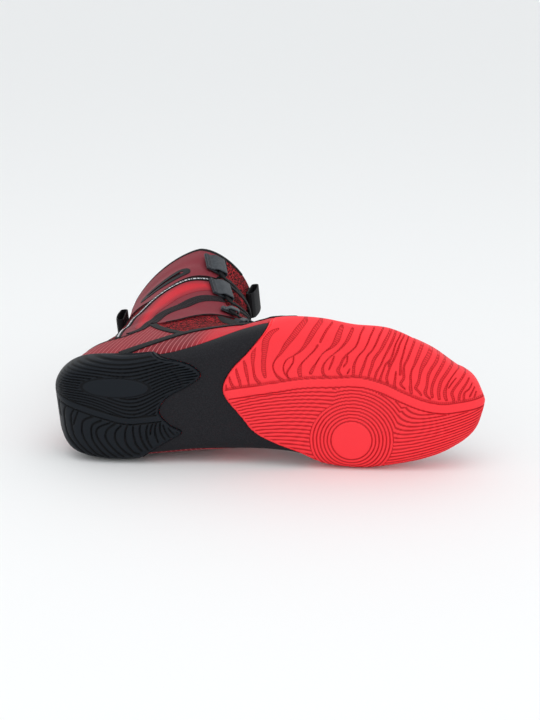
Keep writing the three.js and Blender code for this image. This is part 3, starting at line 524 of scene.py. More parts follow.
# Tread relief, as depths in millimetres over the shoe seen from below
FORE_STROKES = (
    # x, y, width of each point of a channel
    ((118.1, -14.6, 0.6), (118.6, -11, 0.9), (119, -8.8, 0.9)),
    ((121.2, -20, 0.7), (121.5, -16.1, 1.3), (122.4, -12.7, 1.7), (124, -10.7, 1.5)),
    ((126.3, -23.9, 0.8), (126.7, -19.6, 1.6), (127.7, -14.8, 1.8), (128, -11.4, 1.4)),
    ((131.6, -29.3, 0.9), (132.4, -25.5, 1.9), (132.8, -20.2, 1.9),
     (133.3, -15.9, 1.3), (133.6, -11.5, 1)),
    ((141.8, -40.1, 0.6), (139.6, -36.5, 1.7), (138.4, -32.3, 2.7), (137.6, -27.2, 1.9),
     (137.6, -21.5, 1.2), (138.2, -16.5, 1.8), (140.6, -13.1, 1.9)),
    ((156.1, -48.2, 1.2), (151.4, -46, 2.8), (148, -42.2, 4.1), (146.6, -37.5, 4.1),
     (145.7, -32.5, 3.2), (144.6, -26.8, 2.8), (144.3, -21, 2.8), (144.7, -17.2, 1.9)),
    ((173.8, -51.3, 2.7), (169.2, -47.6, 3.6), (164.8, -42.7, 3.5), (160.3, -37.8, 2.9), (156.6, -32.8, 1.8),
     (152.5, -28.3, 0.8), (150.6, -24.5, 0.8), (150.9, -20.7, 0.8), (152.9, -16.8, 1.5), (155.9, -14.2, 1.8)),
    ((183.6, -50.1, 2.5), (180, -46.9, 3.1), (176, -41.6, 3), (172.4, -36.6, 2.2), (168.9, -33, 1.2), (164.6, -30.4, 0.5),
     (159.9, -27.9, 0.6), (157.2, -23.2, 0.7), (157.7, -18.4, 0.7), (160.1, -15.4, 1), (162.3, -13.9, 1.1)),
    ((164.6, -30, 0.8), (163.7, -25.7, 0.8), (160.7, -21.6, 0.9), (159.1, -18.8, 1.1), (159.4, -17, 0.8)),
    ((190.6, -48.5, 1.1), (187.3, -45.8, 1.3), (184.6, -42, 1.3), (182.7, -38.7, 1.3)),
    ((180.6, -36.1, 1.4), (177.6, -32.5, 0.8), (173.1, -28.5, 0.7),
     (169.1, -24.5, 0.9), (167.4, -20.3, 2.7), (167.6, -16.9, 2.3)),
    ((196.6, -45.7, 2.6), (194.9, -42.7, 3.4), (193, -38.8, 3.6), (190.2, -35.2, 2),
     (186.7, -32.9, 0.9), (183.8, -30.9, 0.6), (181, -27.7, 0.6)),
    ((181, -27.7, 0.8), (178.6, -24.4, 0.8), (176.1, -20.7, 2), (174.5, -18, 2)),
    ((203.4, -44, 1.8), (201.2, -40.5, 2.1), (199, -37.2, 1.6), (195.4, -33.6, 1), (191.9, -30.8, 0.6),
     (187.1, -27.3, 0.6), (183.5, -23.2, 0.9), (182.4, -19.8, 1.7), (182.9, -16.3, 1.4), (184.9, -14.8, 0.8)),
    ((190.5, -28, 0.8), (189, -24.6, 1.2), (186.5, -19.5, 0.8)),
    ((210.7, -43.9, 1), (208.6, -41.4, 0.9), (207.1, -37.8, 0.9), (204.9, -33.8, 0.8), (201.8, -31, 0.7), (198.7, -28.6, 1.2),
     (196.1, -25.8, 1.3), (194.1, -22, 1.5), (192.2, -18.7, 2.1), (193.3, -16.1, 1.5), (194.7, -14.2, 1)),
    ((199.1, -27.7, 0.9), (198.4, -23.9, 0.9), (196.1, -21, 0.9)),
    ((217.2, -43.1, 0.9), (214.6, -39.4, 0.9), (212.8, -35.7, 0.8), (210, -31.2, 0.7), (206.4, -27.7, 0.8),
     (204.2, -24.4, 1.1), (202.7, -21, 1.6), (202.2, -17.2, 1.7), (201.5, -14.2, 1.5)),
    ((199.7, -18.7, 0.9), (198.2, -16.2, 1)),
    ((222.9, -42.2, 1), (220.7, -39.7, 1.1), (218.5, -35.7, 1), (215.3, -30.5, 0.9), (212.1, -27.3, 1),
     (210.2, -23.5, 1.2), (208.7, -19.8, 1.5), (207, -16.4, 1.6), (206.2, -13.8, 1.5)),
    ((228.1, -41.2, 1.7), (226, -38.5, 1.9), (223.3, -34.6, 2.1), (220.5, -30, 1.7), (217.8, -26.9, 1.7),
     (215.5, -23.6, 1.9), (214, -19.4, 1.6), (212.5, -16, 1.6), (211.3, -12.2, 1.2)),
    ((230.9, -39.6, 1.3), (228.2, -34.9, 1.5), (225.4, -30.1, 1.3), (222.2, -24.7, 1),
     (219.9, -20.2, 1), (217.4, -16.5, 1.3), (215.9, -13.2, 1.4), (215.2, -10.6, 1.2)),
    ((234, -37.9, 0.7), (230.5, -33.4, 0.8), (228.1, -27, 1.1), (226.2, -23.2, 1.1),
     (223.1, -20.4, 1), (221.1, -16.2, 0.9), (219.6, -12.9, 1.2), (218.5, -9.6, 1.6)),
    ((226.2, -22.8, 0.9), (224.7, -19, 1)),
    ((236, -36.5, 0.8), (233.3, -33.5, 0.9), (231, -28.3, 1.2), (228.6, -23.4, 1.1),
     (225.8, -18.5, 1.1), (224, -14.3, 1.4), (222.9, -10.9, 1.5), (223.5, -7.4, 1.3)),
    ((229.2, -14.8, 0.9), (228.6, -11.3, 1.1), (227.7, -6.6, 1.5), (228.1, -4.5, 1.3)),
    ((238.7, -35.1, 0.8), (236.5, -31.6, 0.9), (234.4, -25.5, 1),
     (232.7, -20.5, 1.2), (232.2, -16.2, 1.3), (231.8, -12.8, 1.5)),
    ((242.7, -32.9, 1.3), (239.9, -28.3, 1.3), (237.2, -22.7, 1.3), (234.8, -18.6, 1.2),
     (234.1, -14.3, 1.4), (233.9, -10, 1.5), (231.6, -6.3, 1.5), (234.2, -2.6, 0.8)),
    ((247.4, -29.8, 2.1), (245.3, -26.6, 2.2), (243.1, -22.3, 1.9), (241.2, -18.2, 1.4), (239.3, -14.8, 1),
     (238.3, -10.6, 1.3), (238.1, -6.3, 1.4), (237.7, -2.9, 2.1), (238.1, 0.2, 1.7)),
    ((252.7, -25.9, 2.8), (250.4, -22.8, 3.1), (248.2, -19.7, 3.2), (245.8, -15.6, 2.3), (244.3, -11.3, 1.6),
     (243.3, -7.2, 1.6), (241.9, -4.3, 1.9), (241, -2.6, 1.6), (243.2, 0.6, 1.3), (244.3, 2.5, 1.1)),
    ((257.4, -22, 1.8), (255.1, -18.4, 2.1), (251.8, -14.4, 1.8), (249.7, -10.4, 1.8), (248.8, -6.2, 1.4),
     (248, -2.4, 1.6), (246.9, 0.6, 2.1), (247.6, 3.2, 1.5), (249.9, 5.7, 0.9)),
    ((261.6, -18.6, 1.6), (258.5, -15.1, 1.9), (255.4, -10.6, 1.8), (253.2, -6.6, 1.7),
     (251.7, -2.8, 1.6), (251, 1, 1.7), (251.3, 4.5, 1.7)),
    ((266.3, -14.3, 1.6), (263.2, -12.3, 2), (260.1, -8.9, 2), (257.5, -5.3, 1.9),
     (256.2, -1.5, 2.1), (255.4, 2.4, 1.9), (255.6, 6.3, 1.7)),
    ((270.6, -10.5, 0.7), (267.2, -9.6, 0.7), (263.7, -6.3, 0.7), (261.1, -2.2, 1.1),
     (259.6, 1.5, 2.1), (259.4, 4.5, 2.1), (260.1, 7.6, 1.7)),
    ((267.3, -6.2, 0.6), (264.9, -3.9, 0.7), (262.1, -0.3, 0.8)),
    ((273.3, -7, 1.2), (270.7, -4.9, 1.4), (267.6, -1.8, 1.4), (265.3, 0.9, 1.6),
     (263.9, 3.8, 1.7), (264.6, 7, 1.7), (264.9, 9.2, 1.3)),
    ((275.5, -3.7, 1), (272.9, -0.6, 1.3), (270.4, 2.5, 1.5), (268.8, 5.3, 1.6), (268.2, 8.3, 1.7)),
    ((277.4, -0.4, 0.8), (275.2, 2.5, 0.9), (272.1, 4.5, 1.2), (271.4, 7.9, 1.4), (271.9, 9.7, 1)),
    ((278.8, 2.4, 0.8), (276.8, 5.3, 1), (275.3, 7.7, 1.1)),
    ((279.6, 5.6, 0.9), (278.2, 8.8, 1)),
)
HEEL_STROKES = (
    ((5, -7.7, 1), (4, -2.8, 1), (4.5, 3.7, 1)),
    ((10.9, -5.2, 1.1), (8.2, -0.4, 1.1), (7.7, 8.2, 1.1),
     (8.8, 15.5, 1.1), (12.8, 21.5, 1.2), (18.8, 28.4, 1.4)),
    ((16, -2.8, 1.1), (13.4, 1.4, 1.1), (12.8, 8.5, 1.2), (13.6, 15.8, 1.2),
     (16.9, 21.7, 1.2), (21.7, 27.1, 1.4), (26.1, 30.6, 1.4)),
    ((18.6, -1.2, 1), (15.8, 4.4, 1.1), (14.3, 7.9, 1)),
    ((28.4, 2.3, 1.4), (21.9, 4.8, 1.2), (19.8, 10.4, 1.1), (20.3, 16.9, 1.2),
     (23, 22.8, 1.2), (27.1, 28.2, 1.4), (31.5, 31.3, 1.4)),
    ((33.5, 5.5, 1.4), (27.6, 8, 1.2), (25.9, 13.6, 1.1),
     (26.8, 20.2, 1.2), (30.7, 26.9, 1.4), (35, 31.6, 1.4)),
    ((39.4, 7.3, 1.1), (32.2, 9.7, 1.1), (29.4, 13.1, 1.2),
     (30.4, 19, 1.2), (34.9, 26.5, 1.4), (40.4, 31.9, 1.4)),
    ((42.7, 8.2, 1.4), (37.5, 11.5, 1.2), (35.3, 15.7, 1.2),
     (36.3, 20.8, 1.4), (40.4, 26.8, 1.4), (45.3, 31.8, 1.4)),
    ((46.6, 9.9, 1.1), (42.8, 13.2, 1.1), (41.5, 17.5, 1.2),
     (42.4, 21.9, 1.2), (45.8, 27.1, 1.4), (50.8, 31.8, 1.4)),
    ((50.7, 10.2, 1.1), (48.8, 14.3, 1.1), (48.2, 19.3, 1.2),
     (49, 23.7, 1.4), (52.5, 29, 1.5), (55.7, 30.6, 1.5)),
    ((54.8, 9.7, 1), (53.9, 14.7, 1.1), (54.3, 19.7, 1.2), (55.1, 24.1, 1.4), (58, 28.6, 1.5)),
    ((59.5, 10, 1), (58.3, 14.9, 1.1), (59, 20.7, 1.4), (60.5, 25.1, 1.5), (62.2, 28.1, 1.4)),
    ((64.3, 10.3, 1), (62.7, 15.2, 1.2), (62.9, 21.7, 1.4), (65.1, 26.9, 1.2)),
    ((67.8, 9.8, 1), (66, 13.3, 1.1), (65.1, 17.5, 1)),
    ((70.2, 9.2, 1), (68.6, 14.1, 1.1), (68.7, 19.2, 1.2), (69.6, 23.5, 1.1)),
    ((72.5, 10.1, 1), (71.9, 15.1, 1.1), (73.4, 20.2, 1.2), (75.8, 23.2, 1.1)),
    ((74.3, 11.6, 0.8), (75.2, 16, 1), (77.4, 20.4, 1), (79.3, 22, 0.8)),
    ((77, 12.5, 0.8), (78.6, 16.2, 0.8), (81.6, 20, 0.8)),
    ((80.3, 13.4, 0.7), (82, 16.4, 0.7), (83.8, 18.7, 0.7)),
)
FORE_BAND_HALF, HEEL_BAND_HALF = 2.75, 1.85
PIVOT, PIVOT_DISC, PIVOT_RING, RING_PITCH, FLOW_PITCH = (197.0, 30.0), 13.4, 27.5, 2.35, 2.45
PAD_PLACE, PAD_SIZE, PAD_TURN = (46.0, -16.5), (21.0, 6.2), 0.10


def strokes(xy, table, per=4):
    """Distance to the nearest stroke's edge, negative inside it, and the length run along it."""
    best = np.full(len(xy), 9.0)
    along = np.zeros(len(xy))
    for stroke in table:
        line = spline(stroke, per)
        low, high = line[:, :2].min(0) - 3, line[:, :2].max(0) + 3
        near = np.flatnonzero(((xy > low) & (xy < high)).all(1))
        if not len(near):
            continue
        a, run = line[:-1], np.diff(line, axis=0)
        length2 = (run[:, :2] ** 2).sum(1)
        start = np.concatenate([[0], np.cumsum(np.sqrt(length2))[:-1]])
        rel = xy[near, None, :] - a[None, :, :2]
        t = np.clip((rel * run[:, :2]).sum(-1) / length2, 0, 1)
        d = np.linalg.norm(rel - t[..., None] * run[:, :2], axis=-1) - (a[:, 2] + t * run[:, 2]) / 2
        k = d.argmin(1)
        pick = np.arange(len(near))
        gap = d[pick, k]
        better = gap < best[near]
        best[near[better]] = gap[better]
        along[near[better]] = (start[k] + t[pick, k] * np.sqrt(length2[k]))[better]
    return best, along


def groove(d, half, soft=0.4):
    return np.clip((half - np.abs(d)) / soft + 0.5, 0, 1)


def comb(field, pitch, half):
    return groove((field / pitch - np.round(field / pitch)) * pitch, half)


def beside(xy, line):
    """Distance to a line that runs along X, positive on the shoe's inner side."""
    y = np.interp(xy[:, 0], line[:, 0], line[:, 1])
    slope = np.interp(xy[:, 0], line[:, 0], np.gradient(line[:, 1], line[:, 0]))
    return (xy[:, 1] - y) / np.sqrt(1 + slope ** 2)


def flow_field(x, y):
    """Lines that run along the sole and bend round the turning disc's rings."""
    ring = np.hypot(x - PIVOT[0], y - PIVOT[1]) - PIVOT_RING

    def left(x, y):
        return y - (x - (168 - 0.83 * (y + 7))) ** 2 / 348

    def right(x, y):
        t = np.clip(x - (243 - 1.1 * (y - 20.8)), -21, None)
        return y + np.where(t < 0, t ** 2 / 70, t ** 2 / 210)

    flow = np.where(x < PIVOT[0] + 3, left(187.0, 4.4) - left(x, y), 28.6 - right(x, y))
    above = np.where(y < PIVOT[1], np.minimum(ring * FLOW_PITCH / RING_PITCH, flow), flow)
    return np.where(ring < 0, ring * FLOW_PITCH / RING_PITCH, above), ring


def fore_relief(xy):
    x, y = xy.T
    s = beside(xy, plan_line("fore_band"))
    inner = s > FORE_BAND_HALF + 1.3
    field, ring = flow_field(x, y)
    lines = comb(field, FLOW_PITCH, 0.46) * inner * (ring > PIVOT_DISC - PIVOT_RING - 0.7)
    gap, along = strokes(xy, FORE_STROKES)
    channel = np.clip(0.5 - gap / 0.4, 0, 1) * (s < -FORE_BAND_HALF - 0.9)
    margin = groove(s + FORE_BAND_HALF + 1.35, 0.75) * 0.55
    margin = np.where(channel > 0.3, 0, margin)
    edges = groove(np.abs(s) - FORE_BAND_HALF - 0.5, 0.42)
    depth = np.maximum.reduce([0.72 * lines, 0.85 * channel, margin, 0.85 * edges])
    hatch = np.maximum(channel * (gap < -0.25), (margin > 0.3) * 0.8)
    return depth, np.where(channel > 0.3, along, x), hatch


def heel_relief(xy):
    x, y = xy.T
    s = beside(xy, plan_line("heel_band"))
    px, py = x - PAD_PLACE[0], y - PAD_PLACE[1]
    c, t = math.cos(PAD_TURN), math.sin(PAD_TURN)
    px, py = c * px + t * py, c * py - t * px
    pad = (np.hypot(px / PAD_SIZE[0], py / PAD_SIZE[1]) - 1) * PAD_SIZE[1]
    sag = 4 + np.clip(y + 30, -10, 40) / 33 * 11
    field = y - sag * np.exp(-((x - 56) / 27) ** 2)
    lines = comb(field, 1.75, 0.36) * (s < -HEEL_BAND_HALF - 1.0) * (pad > 1.0)
    edge = groove(pad - 0.5, 0.4)
    gap, along = strokes(xy, HEEL_STROKES)
    channel = np.clip(0.5 - gap / 0.4, 0, 1) * (s > HEEL_BAND_HALF + 1.0)
    edges = groove(np.abs(s) - HEEL_BAND_HALF - 0.5, 0.42)
    depth = np.maximum.reduce([0.8 * lines, 0.5 * edge, 0.8 * channel, 0.85 * edges])
    return depth, along, 0 * depth


def away_from(xy, line):
    """Plain distance to a line of points."""
    a, run = line[:-1], np.diff(line, axis=0)
    best = np.full(len(xy), 1e3)
    for p, r in zip(a, run):
        rel = xy - p
        t = np.clip(rel @ r / (r @ r), 0, 1)
        best = np.minimum(best, np.linalg.norm(rel - t[:, None] * r, axis=1))
    return best


def round_edge(d, radius):
    return np.sqrt(1 - (1 - np.clip(d / radius, 0, 1)) ** 2)


def rubber_offset(relief, back, top, rim):
    """Offset of a sole's outer face: thinner at its edges, and cut by the tread where it faces down."""
    back_line, top_line = plan_line(back), side_line(top)

    def offset(base, normal, row, way):
        outer = (base + normal * (FIT + RUBBER)).reshape(-1, 3)
        faces_down = np.clip((-normal[..., 2].ravel() - 0.12) / 0.2, 0, 1)
        xy = outer[:, :2]
        to_back = away_from(xy, back_line)
        to_top = np.interp(outer[:, 0], top_line[:, 0], top_line[:, 1]) - outer[:, 2]
        depth = relief(xy)[0] * faces_down * np.clip((np.minimum(to_back, to_top) - rim) / 0.3, 0, 1)
        thick = RUBBER * (0.45 + 0.55 * round_edge(np.minimum(to_back * 1.2, to_top), 2.4))
        return (FIT + thick - depth).reshape(normal.shape[:2])

    return offset


def relief_of(relief, back, top, rim):
    back_line, top_line = plan_line(back), side_line(top)

    def values(co):
        xy = co[:, :2]
        to_back = away_from(xy, back_line)
        to_top = np.interp(co[:, 0], top_line[:, 0], top_line[:, 1]) - co[:, 2]
        depth, along, hatch = relief(xy)
        inside = np.clip((np.minimum(to_back, to_top) - rim) / 0.3, 0, 1)
        return np.stack([depth * inside, along, hatch * inside], -1)

    return values


def sole_rows(first, last_row, step):
    fine = np.linspace(first, last_row, 3000)
    p = last_point(fine[:, None], np.array([0.5, 0.4, 0.6])[None, :])
    total = np.concatenate([[0], np.cumsum(np.linalg.norm(np.diff(p, axis=0), axis=-1).max(-1))])
    count = int(total[-1] / step)
    return np.interp(np.linspace(0, total[-1], count + 1), total, fine)


def make_soles():
    step = 0.5
    count = 250
    ways = np.concatenate([
        np.linspace(0, 0.25, 9)[:-1], np.linspace(0.25, 0.75, count), np.linspace(0.75, 1, 9)[1:-1],
    ])
    inside = body(FIT)
    for name, relief, region, back, top, rim, first, last_row, material, slot in (
        ("outsole_forefoot", fore_relief, fore_region, "fore_back", "fore_top", 1.2, 0.02, 10.4,
         RED_RUBBER, "red_rubber"),
        ("outsole_heel", heel_relief, heel_region, "heel_front", "heel_top", 1.3, 9.6, 16.5,
         BLACK_RUBBER, "black_rubber"),
    ):
        outer = form(rubber_offset(relief, back, top, rim), sole_rows(first, last_row, step), ways)
        me = minus(both(outer, region()), inside)
        piece(name + "_tread", me, material, slot, name, angle=50, relief=relief_of(relief, back, top, rim))


# Strips laid on the shoe along lines seen from the side
def surface_tree(me):
    return BVHTree.FromPolygons(points_of(me).tolist(), [list(p.vertices) for p in me.polygons])


def laid(line, half, step=1.5):
    """Points on the shoe's skin under a line seen from the side, and the skin's normals there."""
    sign = -1 if half == "outer" else 1
    found = []
    for x, z in line:
        hit, normal, _, _ = SKIN.ray_cast(Vector((x, sign * REACH, z)), Vector((0, -sign, 0)))
        if hit is not None:
            found.append((*hit, *normal))
    return even(np.array(found), step)


def even(track, step):
    gaps = np.linalg.norm(np.diff(track[:, :3], axis=0), axis=1)
    total = np.concatenate([[0], np.cumsum(gaps)])
    count = max(int(round(total[-1] / step)), 2)
    out = np.stack([np.interp(np.linspace(0, total[-1], count + 1), total, track[:, k]) for k in range(track.shape[1])], -1)
    out[:, 3:6] = unit(out[:, 3:6])
    return out


def round_back(line):
    """A line's track over the outer side, round the shoe's back and over the inner side."""
    outer, inner = laid(line, "outer"), laid(line, "inner")
    return even(np.concatenate([outer[::-1], inner]), 1.5)


def strap_profile(width, thick, lift, corner=0.35, steps=3):
    r = min(corner, thick * 0.95, width / 2)
    a = np.linspace(0, math.pi / 2, steps + 1)
    right = np.stack([width / 2 - r + r * np.cos(a), thick - r + r * np.sin(a)], -1)
    left = (right * (-1, 1))[::-1]
    bottom = np.array([[-width / 2, 0], [width / 2, 0]])
    return np.concatenate([right, left, bottom]) + (0, lift)


def sweep(track, profile, shift=0.0, widths=None):
    """A profile of (across, outward) carried along a track of points and normals."""
    p, n = track[:, :3], track[:, 3:6]
    run = unit(np.gradient(p, axis=0))
    across = unit(np.cross(run, n))
    out = np.cross(across, run)
    scale = np.ones(len(p)) if widths is None else widths
    a = (profile[:, 0][None, :] * scale[:, None] + shift)[..., None]
    points = p[:, None, :] + across[:, None, :] * a + out[:, None, :] * profile[None, :, 1, None]
    rings, m = points.shape[:2]
    faces = grid_faces(rings, m).tolist()
    end = (rings - 1) * m
    faces += [list(range(m)), [end + k for k in range(m)][::-1]]
    return points.reshape(-1, 3), faces


def merged(parts):
    points, faces, base = [], [], 0
    for p, f in parts:
        points.append(p)
        faces += [[base + k for k in face] for face in f]
        base += len(p)
    me = mesh_of(np.concatenate(points), faces)
    turn_outward(me)
    return me


def turn_outward(me):
    bm = bmesh.new()
    bm.from_mesh(me)
    bmesh.ops.recalc_face_normals(bm, faces=bm.faces)
    bm.to_mesh(me)
    bm.free()


def cut_track(track, start, stop):
    total = np.concatenate([[0], np.cumsum(np.linalg.norm(np.diff(track[:, :3], axis=0), axis=1))])
    at = np.linspace(start, stop, 3)
    return np.stack([np.interp(at, total, track[:, k]) for k in range(6)], -1)


def length_of(track):
    return np.linalg.norm(np.diff(track[:, :3], axis=0), axis=1).sum()


def dashes(track, shift, lift, dash, gap, width, thick=0.3, lengths=None):
    """Short raised marks along a track: stitches, or the plain printed ticks of a tape."""
    parts, at, number = [], gap, 0
    total = length_of(track)
    profile = strap_profile(width, thick, lift, corner=0.12, steps=2)
    while at + dash < total:
        size = dash * (lengths[number % len(lengths)] if lengths else 1)
        parts.append(sweep(cut_track(track, at, min(at + size, total)), profile, shift))
        at += size + gap
        number += 1
    return parts


# Main soft pieces


def both_wraps(grow=0.0):
    parts = [prism("side", grown(below(side_line(line)), grow), *HALF[half])
             for half, line in (("outer", "wrap_outer"), ("inner", "wrap_inner"))]
    return joined(*parts)


def make_upper():
    rows = np.append(BODY_ROWS[BODY_ROWS < COLLAR], COLLAR)
    boot = minus(form(0.0, rows, WAYS), body(-WALL), front_cut("throat"))
    piece("knitted_boot", boot, KNIT, "knit", "upper", angle=50)
    tongue = both(minus(body(-WALL - FIT), body(-WALL - FIT - 2.6)), front_cut("tongue"))
    piece("knitted_tongue", tongue, KNIT, "knit", "tongue", angle=50)


def layer_over(outline, half, low=FIT, high=TOP_OF_PANEL, *cut):
    return patch(outline, half, low, high, *cut)


def make_panels():
    fore_clear, heel_clear = fore_region(SIDE_GAP), heel_region(SIDE_GAP)
    wrap = minus(both(minus(body(TOP_OF_PANEL), body(FIT)), both_wraps()), fore_clear, heel_clear)
    piece("coated_wrap", wrap, SATIN, "satin", "midfoot_wrap")

    counter_line = outline_of("counter_top", "counter_front", "counter_low")
    wrap_clear = both_wraps(SIDE_GAP)
    counter = layer_over(counter_line, None, FIT, TOP_OF_PANEL, heel_clear, wrap_clear)
    piece("ripstop_counter", counter, COUNTER, "ripstop", "heel_counter")
    counter_clear = prism("side", grown(counter_line, SIDE_GAP), *HALF[None])

    panel_line = np.concatenate([side_line("panel_top"), side_line("panel_low")])
    low_wing = outline_of("low_wing_top", "low_wing_front", "low_wing_low")
    low_clear = prism("side", grown(low_wing, SIDE_GAP), *HALF[None])
    strap_line = outline_of("strap_top", "strap_front", "strap_low")
    eyestay_clear, throat_clear = front_cut("eyestay", SIDE_GAP), front_cut("throat", 1.5)
    for half in ("outer", "inner"):
        panel = layer_over(panel_line, half, FIT, TOP_OF_PANEL, fore_clear, heel_clear, wrap_clear, counter_clear)
        piece(f"striped_panel_{half}", panel, STRIPED, "ripstop", f"side_panel_{half}")
        strap = layer_over(strap_line, half, FIT, TOP_OF_PANEL, low_clear, counter_clear, eyestay_clear, throat_clear)
        piece(f"ripstop_strap_{half}", strap, MAUVE, "ripstop", f"ankle_strap_{half}")
        wing = layer_over(low_wing, half, FIT, TOP_OF_PANEL, counter_clear)
        piece(f"low_ripstop_wing_{half}", wing, MAUVE, "bright_ripstop", f"lower_wing_{half}")
        field = minus(patch(bright_field(), half, TOP_OF_PANEL - 0.2, TOP_OF_PANEL + 0.25), counter_clear)
        piece(f"bright_field_{half}", field, BRIGHT, "bright_ripstop", relief=inside_field)

    high = outline_of("high_wing_low", "high_wing_front", "high_wing_top")
    slot = prism("side", ribbon(side_line("slot"), SLOT_W), *HALF[None])
    wing = layer_over(high, None, FIT, TOP_OF_PANEL, low_clear, slot)
    piece("high_ripstop_wing", wing, MAUVE, "ripstop", "upper_wing")

    stay = minus(both(minus(body(TOP_OF_PANEL), body(FIT)), front_cut("eyestay")), front_cut("throat", SIDE_GAP))
    piece("black_eyestay", stay, TAPE, "tape", "eyestay")


def inside_field(co):
    """How far each point is inside the bright field's edge, which sets the field's painted glow."""
    edge = bright_field()
    depth = away_from(co[:, [0, 2]], np.concatenate([edge, edge[:1]]))
    return np.stack([depth, 0 * depth, 0 * depth], -1)


def bright_field():
    """The bright middle of the lower wing, a band with a round end inside the wing's tapes."""
    top = spline(np.array([(0.190, 0.330), (0.196, 0.420), (0.212, 0.510), (0.240, 0.585), (0.276, 0.650),
                           (0.305, 0.692)]) * (FOOT, SHAFT))
    low = spline(np.array([(0.322, 0.716), (0.314, 0.744), (0.292, 0.738), (0.240, 0.690), (0.200, 0.632),
                           (0.176, 0.556), (0.163, 0.450), (0.166, 0.350), (0.178, 0.316)]) * (FOOT, SHAFT))
    return np.concatenate([top, low])


def capsule_outline(line, width, steps=8):
    """A ribbon round a line with round ends."""
    out = ribbon(line, width)
    n = len(line)

    def cap(centre, start):
        a = start + np.linspace(0, math.pi, steps + 1)[1:-1]
        return centre + width / 2 * np.stack([np.cos(a), np.sin(a)], -1)

    first, last_one = out[:n], out[n:]
    end_dir = line[-1] - line[-2]
    start_dir = line[1] - line[0]
    end_cap = cap(line[-1], math.atan2(end_dir[1], end_dir[0]) - math.pi / 2)
    start_cap = cap(line[0], math.atan2(start_dir[1], start_dir[0]) + math.pi / 2)
    return np.concatenate([first, end_cap, last_one, start_cap])


def make_tapes():
    parts = {"tape": [], "rough": [], "marks": [], "stitches": []}
    for half in ("outer", "inner"):
        top = laid(side_line("low_wing_top"), half)
        low = laid(side_line("low_wing_low"), half)
        parts["tape"].append(sweep(top, strap_profile(4.2, 0.7, TOP_OF_PANEL - 0.1)))
        tick = (1.0, 0.5, 1.3, 0.8, 0.4, 1.6)
        parts["marks"] += dashes(top, 0.0, TOP_OF_PANEL + 0.55, 1.7, 1.0, 1.3, 0.16, tick)
        parts["rough"].append(sweep(low, strap_profile(5.2, 0.8, TOP_OF_PANEL - 0.1)))
        parts["stitches"] += dashes(low, 2.0, TOP_OF_PANEL + 0.6, 1.4, 0.8, 0.35, 0.2)
        parts["stitches"] += dashes(low, -2.0, TOP_OF_PANEL + 0.6, 1.4, 0.8, 0.35, 0.2)
        strap = laid(side_line("strap_top"), half)
        parts["rough"].append(sweep(strap, strap_profile(3.4, 0.6, TOP_OF_PANEL - 0.1)))
        strap = laid(side_line("strap_low"), half)
        parts["tape"].append(sweep(strap, strap_profile(1.4, 0.5, TOP_OF_PANEL - 0.2)))
        front = laid(np.concatenate([side_line("low_wing_front"), side_line("low_wing_low")[:1]]), half)
        parts["tape"].append(sweep(front, strap_profile(1.6, 0.5, TOP_OF_PANEL - 0.2)))
        for name in ("branch", "band"):
            band = laid(side_line(name), half, 1.2)
            parts["tape"].append(sweep(band, strap_profile(BAND_W * (0.7 if name == "branch" else 1), BAND, TOP_OF_PANEL + 0.1, corner=0.6)))
            for edge in (-1, 1):
                shift = edge * (BAND_W * (0.35 if name == "branch" else 0.5) - 0.9)
                parts["stitches"] += dashes(band, shift, TOP_OF_PANEL + 0.75, 1.4, 0.8, 0.3, 0.2)
        slot = side_line("slot")
        rim = minus(patch(capsule_outline(slot, 15.0), half, TOP_OF_PANEL - 0.2, TOP_OF_PANEL + 0.45),
                    prism("side", capsule_outline(slot, 4.2), *HALF[half]))
        piece(f"slot_rim_{half}", rim, WEBBING_DARK, "webbing")
        # Painted shade in the slot: a black sheet under the wing, seen through the rim's hole.
        shade = patch(capsule_outline(slot, 6.0), half, 0.05, 0.35)
        piece(f"slot_shade_{half}", shade, SLOT_SHADE_SHEET, "tape")
        edge = laid(np.concatenate([side_line("high_wing_front"), side_line("high_wing_top")[1:2]]), half)
        parts["tape"].append(sweep(edge, strap_profile(1.3, 0.5, TOP_OF_PANEL - 0.2)))
        edge = laid(side_line("counter_front"), half)
        parts["tape"].append(sweep(edge, strap_profile(1.6, 0.5, TOP_OF_PANEL - 0.2)))
    for name, width in (("high_wing_low", 0.9), ("high_wing_top", 1.3), ("counter_top", 2.4)):
        track = round_back(side_line(name)[::-1] if name in ("high_wing_top",) else side_line(name)[::1])
        parts["tape"].append(sweep(track, strap_profile(width, 0.5, TOP_OF_PANEL - 0.2)))
    piece("edge_tapes", merged(parts["tape"]), TAPE, "tape", "side_band_outer", "side_band_inner")
    piece("speckled_tapes", merged(parts["rough"]), ROUGH_TAPE, "tape")
    piece("tape_ticks", merged(parts["marks"]), WHITE, "tape")
    piece("tape_stitches", merged(parts["stitches"]), THREAD, "tape")


def make_collar():
    height = np.linalg.norm(last_point(TOP_ROW, 0.25) - last_point(COLLAR, 0.25))
    mid, half_thick, half_high = (0.75 - WALL) / 2, (WALL + 0.9) / 2, 2.0
    a = np.linspace(0, 2 * math.pi, 17)[:-1]
    offset = mid + half_thick * np.sign(np.cos(a)) * np.abs(np.cos(a)) ** 0.7
    row = COLLAR + (FIT + half_high + half_high * np.sign(np.sin(a)) * np.abs(np.sin(a)) ** 0.7) / height
    ways = np.arange(220) / 220
    rows, turns = np.meshgrid(row, ways, indexing="ij")
    base = last_point(np.minimum(rows, TOP_ROW), turns)
    normal = last_frame(np.minimum(rows, TOP_ROW - 0.01), turns)[1]
    points = base + normal * np.broadcast_to(offset[:, None], rows.shape)[..., None]
    i, j = np.meshgrid(np.arange(len(row)), np.arange(len(ways)), indexing="ij")
    n = len(ways)
    after, beyond = (i + 1) % len(row), (j + 1) % n
    quads = np.stack([i * n + j, after * n + j, after * n + beyond, i * n + beyond], -1).reshape(-1, 4)
    me = quads_mesh(points, quads)
    turn_outward(me)
    piece("collar_tape", minus(me, front_cut("throat")), TAPE, "tape", "collar_binding")


